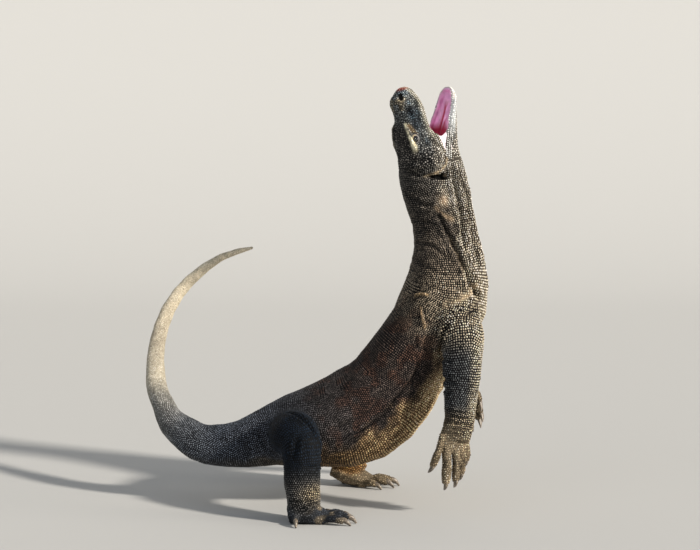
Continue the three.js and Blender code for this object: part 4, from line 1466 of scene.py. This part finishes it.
def makeClaw(node, paw):
    root, tip = clawEnds(node, paw)
    up = pawPlace[paw]["axes"][2]
    forward = unit(tip - root)
    length = np.linalg.norm(tip - root)
    root = root - forward * clawSettings["bury"] * mm
    length += clawSettings["bury"] * mm
    up = unit(up - forward * (up @ forward))
    side = np.cross(forward, up)
    rings = []
    for t in np.linspace(0, 1, clawSettings["rings"]):
        bow = clawSettings["bow"] * length * (1 - (2 * t - 0.72) ** 2) * 0.8
        middle = root + forward * length * t + up * bow
        middle[2] = max(middle[2], clawSettings["lowest"][0])
        radius = clawSettings["root"] * mm * (1 - t) ** clawSettings["taper"] * (1 + 0.12 * math.sin(3 * t))
        radius += clawSettings["tip"] * mm
        turn = np.arange(clawSettings["sides"]) / clawSettings["sides"] * 2 * math.pi
        ring = (middle + np.outer(np.cos(turn), side) * radius * clawSettings["flat"][0]
                + np.outer(np.sin(turn), up) * radius * clawSettings["flat"][1])
        ring[:, 2] = np.maximum(ring[:, 2], clawSettings["lowest"][1])
        rings.append(ring)
    return ringPiece(node + "_horn", rings)


claws = []
for paw in pawPlace:
    for number in range(1, 6):
        node = f"{paw}_claw_{number}"
        claws.append((makeClaw(node, paw), node))
print("claws made")

eyeSettings = {
    "radius": 9.8,
    "opening": (8.4, 6.6),
    "outer": (15.5, 13.5),
    "sides": 72,
    "raise": 27,  # degrees that the eye looks upwards and ahead
    "ahead": 6,
}


def eyeFrame(side):
    centre = placed(np.array(eyePlace[side]) * mm, skull)[0]
    sign = -1 if side == "right" else 1
    raised, ahead = math.radians(eyeSettings["raise"]), math.radians(eyeSettings["ahead"])
    looking = [math.sin(ahead), sign * math.cos(raised), math.sin(raised)]
    outward = unit(placed([looking], skull)[0] - skull["origin"])
    forward = unit(skull["axes"][0] - outward * (skull["axes"][0] @ outward))
    up = unit(skull["axes"][2] - outward * (skull["axes"][2] @ outward))
    return centre, outward, forward, up


def makeEyeball(side):
    centre, outward, forward, _ = eyeFrame(side)
    bpy.ops.object.select_all(action="DESELECT")
    bpy.ops.mesh.primitive_uv_sphere_add(segments=40, ring_count=28, radius=eyeSettings["radius"] * mm)
    ball = bpy.context.object
    ball.name = side + "_eyeball"
    where = positions(ball.data)
    rise = where[:, 2] / (eyeSettings["radius"] * mm)
    where *= (1 + 0.07 * smoothStep(0.72, 0.9, rise))[:, None]
    turned = np.cross(outward, forward)
    setPositions(ball.data, where @ np.array([forward, turned, outward]) + centre)
    bpy.ops.object.shade_smooth()
    # dark white of the eye, brown iris, black pupil
    angle = np.degrees(np.arccos(np.clip(rise, -1, 1)))
    colour = np.broadcast_to(linear((22, 16, 15)), (len(angle), 3)).copy()
    blend(colour, (58, 40, 30), smoothStep(52, 44, angle))
    blend(colour, (5, 6, 10), smoothStep(42, 36, angle))
    paint(ball.data, colour)
    return ball


def makeLids(side):
    centre, outward, forward, up = eyeFrame(side)
    inner, outer = np.array(eyeSettings["opening"]), np.array(eyeSettings["outer"])
    turn = np.arange(eyeSettings["sides"]) / eyeSettings["sides"] * 2 * math.pi
    almond = np.stack([np.cos(turn), np.sin(turn) * (0.80 + 0.20 * np.abs(np.sin(turn)))], 1)
    # from the edge of the opening out over the folds, then back underneath: share of the width, rise in mm
    profile = [(0.0, 0.1), (0.07, 0.9), (0.16, 1.3), (0.25, 0.5), (0.34, 1.1), (0.42, 0.4), (0.52, 1.0),
               (0.60, 0.3), (0.72, 0.9), (0.84, 0.2), (1.0, -2.2), (0.9, -4.5), (0.4, -3.4), (0.05, -1.6)]
    rings = []
    for t, lift in profile:
        half = inner + (outer - inner) * t
        wobble = 1 + 0.03 * np.sin(5 * turn + 9 * t)
        flat = almond * half * wobble[:, None]
        span = np.linalg.norm(flat, axis=1)
        onBall = np.sqrt(np.maximum((eyeSettings["radius"] + 0.5) ** 2 - span**2, 0))
        grain = 0.35 * np.cos(24 * turn + 40 * t) * smoothStep(0.1, 0.2, t)
        level = np.maximum(onBall, 5.6 - 2.6 * t) + lift + (grain if lift > 0 else 0)
        rings.append(centre + (flat[:, 0:1] * forward + flat[:, 1:2] * up + level[:, None] * outward) * mm)
    lids = ringPiece(side + "_eyelids", rings, loop=True)
    ringOf = np.repeat([t for t, _ in profile], eyeSettings["sides"])
    # the lid folds are pale on their crests and dark in the troughs between them: painted shade in the wrinkles
    high = np.repeat([lift for _, lift in profile], eyeSettings["sides"])
    high = high + 0.5 * np.tile(np.cos(24 * turn), len(profile)) * (ringOf > 0.2)
    pale = smoothStep(0.3, 1.3, high)[:, None]
    outside = smoothStep(0.35, 0.7, ringOf)[:, None]
    # pale above and towards the snout, grey below
    front = np.tile(smoothStep(-0.5, 0.6, np.sin(turn + 0.5)), len(profile))[:, None]
    inside = linear((150, 148, 146)) * (1 - front) + linear((240, 220, 184)) * front
    tan = inside * (1 - outside) + linear((92, 94, 96)) * outside
    colour = linear((24, 21, 21)) * (1 - pale) + tan * pale
    edge = smoothStep(0.10, 0.02, ringOf)[:, None]
    paint(lids.data, colour * (1 - edge) + linear((24, 19, 20)) * edge)
    return lids


eyes = []
for side in ("right", "left"):
    eyes.append((side, makeEyeball(side), makeLids(side)))
print("eyes made")


# finishes
def newMaterial(name, roughness, specular=0.5):
    material = bpy.data.materials.new(name)
    material.use_nodes = True
    shader = material.node_tree.nodes["Principled BSDF"]
    shader.inputs["Roughness"].default_value = roughness
    shader.inputs["Specular IOR Level"].default_value = specular
    return material, material.node_tree, shader


def addNode(tree, kind, **inputs):
    node = tree.nodes.new(kind)
    for key, value in inputs.items():
        node.inputs[key].default_value = value
    return node


def paintedNode(tree, name="hideColour"):
    node = tree.nodes.new("ShaderNodeAttribute")
    node.attribute_name = name
    return node


def objectNoise(tree, scale, detail=3.0):
    place = tree.nodes.new("ShaderNodeTexCoord")
    noise = addNode(tree, "ShaderNodeTexNoise", Scale=scale, Detail=detail)
    tree.links.new(place.outputs["Object"], noise.inputs["Vector"])
    return noise


def mixColour(tree, kind, amount, first, second):
    mix = tree.nodes.new("ShaderNodeMix")
    mix.data_type = "RGBA"
    mix.blend_type = kind
    for socket, value in ((mix.inputs[0], amount), (mix.inputs[6], first), (mix.inputs[7], second)):
        if hasattr(value, "is_linked"):
            tree.links.new(value, socket)
        else:
            socket.default_value = value
    return mix.outputs[2]


def ramp(tree, source, low, high, lowValue, highValue):
    limits = {"From Min": low, "From Max": high, "To Min": lowValue, "To Max": highValue}
    node = addNode(tree, "ShaderNodeMapRange", **limits)
    tree.links.new(source, node.inputs["Value"])
    return node.outputs["Result"]


def bump(tree, shader, height, strength, distance):
    node = addNode(tree, "ShaderNodeBump", Strength=strength, Distance=distance)
    tree.links.new(height, node.inputs["Height"])
    tree.links.new(node.outputs["Normal"], shader.inputs["Normal"])


def hideMaterial(name, roughness, grainScale, grainDepth):
    material, tree, shader = newMaterial(name, roughness, 0.14)
    colour = paintedNode(tree)
    shade = ramp(tree, objectNoise(tree, 60).outputs["Fac"], 0.3, 0.7, 0.8, 1.2)
    grey = tree.nodes.new("ShaderNodeCombineColor")
    for k in range(3):
        tree.links.new(shade, grey.inputs[k])
    tinted = mixColour(tree, "MULTIPLY", 1.0, colour.outputs["Color"], grey.outputs["Color"])
    tree.links.new(tinted, shader.inputs["Base Color"])
    grain = objectNoise(tree, grainScale, 2.0)
    bump(tree, shader, grain.outputs["Fac"], 0.35, grainDepth)
    return material, tree, shader


scaleMaterial, _, _ = hideMaterial("scale_horn", 0.55, 900, 0.0004)
skinMaterial, tree, shader = hideMaterial("skin_hide", 0.7, 500, 0.0006)
drying = ramp(tree, paintedNode(tree, "wet").outputs["Fac"], 0, 1, 0.75, 0.22)
tree.links.new(drying, shader.inputs["Roughness"])
lidMaterial, _, _ = hideMaterial("lid_hide", 0.6, 900, 0.0004)

clawMaterial, tree, shader = newMaterial("claw_horn", 0.35, 0.5)
grain = objectNoise(tree, 240, 4.0).outputs["Fac"]
darkHorn, paleHorn = [(*linear(tint), 1) for tint in ((56, 50, 46), (144, 130, 112))]
horn = mixColour(tree, "MIX", ramp(tree, grain, 0.35, 0.7, 0, 1), darkHorn, paleHorn)
tree.links.new(horn, shader.inputs["Base Color"])
bump(tree, shader, grain, 0.3, 0.0003)

eyeMaterial, tree, shader = newMaterial("eye_wet", 0.05, 0.6)
tree.links.new(paintedNode(tree).outputs["Color"], shader.inputs["Base Color"])
shader.inputs["Coat Weight"].default_value = 1.0
shader.inputs["Coat Roughness"].default_value = 0.02

skin.data.materials.append(skinMaterial)
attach(skin, "root")
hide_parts(*fleshNodes())
for piece in coatPieces:
    piece.data.materials.append(scaleMaterial)
    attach(piece, "root")
for piece, node in claws:
    piece.data.materials.append(clawMaterial)
    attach(piece, "root")
    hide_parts(node)
for side, ball, lids in eyes:
    ball.data.materials.append(eyeMaterial)
    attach(ball, "root")
    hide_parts(side + "_eye")
    lids.data.materials.append(lidMaterial)
    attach(lids, "root")
print("finishes set")


# floor, light, camera
stage = {"size": 44, "back": 9, "wall": 14, "sweep": 5, "tone": (0.50, 0.495, 0.48, 1)}
bpy.ops.object.select_all(action="DESELECT")
bpy.ops.mesh.primitive_plane_add(size=stage["size"], location=(0, stage["back"] - stage["size"] / 2, 0))
floor = bpy.context.object
floor.name = "floor"


def selectEdges(mesh, wanted):
    for item in (*mesh.vertices, *mesh.polygons):
        item.select = False
    for edge in mesh.edges:
        edge.select = all(wanted(mesh.vertices[i].co) for i in edge.vertices)


# the back edge is pulled up into a wall and the corner rounded into a sweep
bpy.context.tool_settings.mesh_select_mode = (False, True, False)
selectEdges(floor.data, lambda p: p.y > 0)
bpy.ops.object.mode_set(mode="EDIT")
bpy.ops.mesh.extrude_edges_move(TRANSFORM_OT_translate={"value": (0, 0, stage["wall"])})
bpy.ops.object.mode_set(mode="OBJECT")
selectEdges(floor.data, lambda p: p.y > 0 and p.z < 0.1)
bpy.ops.object.mode_set(mode="EDIT")
bpy.ops.mesh.bevel(offset=stage["sweep"], segments=32, affect="EDGES")
bpy.ops.object.mode_set(mode="OBJECT")
bpy.ops.object.shade_smooth()
floorMaterial, tree, shader = newMaterial("floor_paper", 0.9, 0.2)
shader.inputs["Base Color"].default_value = stage["tone"]
floor.data.materials.append(floorMaterial)

sky = {"tone": (0.78, 0.85, 0.95, 1), "strength": 0.38}
world = bpy.data.worlds.new("studio")
world.use_nodes = True
background = world.node_tree.nodes["Background"].inputs
background["Color"].default_value = sky["tone"]
background["Strength"].default_value = sky["strength"]
bpy.context.scene.world = world

lamps = {
    "key": {"towards": (0.80, -0.50, 0.52), "spread": 5, "power": 4.7, "tint": (1.0, 0.94, 0.85)},
    "low": {"towards": (0.95, -0.22, 0.10), "spread": 20, "power": 1.7, "tint": (1.0, 0.93, 0.82)},
    "fill": {"towards": (-0.6, -0.7, 0.5), "spread": 40, "power": 0.25, "tint": (0.82, 0.9, 1.0)},
}
for name, lamp in lamps.items():
    data = bpy.data.lights.new(name, "SUN")
    data.angle = math.radians(lamp["spread"])
    data.energy = lamp["power"]
    data.color = lamp["tint"]
    light = addObject(name, data)
    light.location = Vector(lamp["towards"]) * 3
    light.rotation_euler = Vector(lamp["towards"]).to_track_quat("Z", "Y").to_euler()

view = {"from": (80.6, -5170, 1155), "pitch": 6.2, "lens": 105.07}
cameraData = bpy.data.cameras.new("camera")
cameraData.sensor_width = 36
cameraData.lens = view["lens"]
cameraData.clip_end = 100
camera = addObject("camera", cameraData)
camera.location = Vector(np.array(view["from"]) * mm + shift)
camera.rotation_euler = (math.radians(90 - view["pitch"]), 0, 0)
bpy.context.scene.camera = camera
bpy.context.scene.view_settings.view_transform = "Standard"
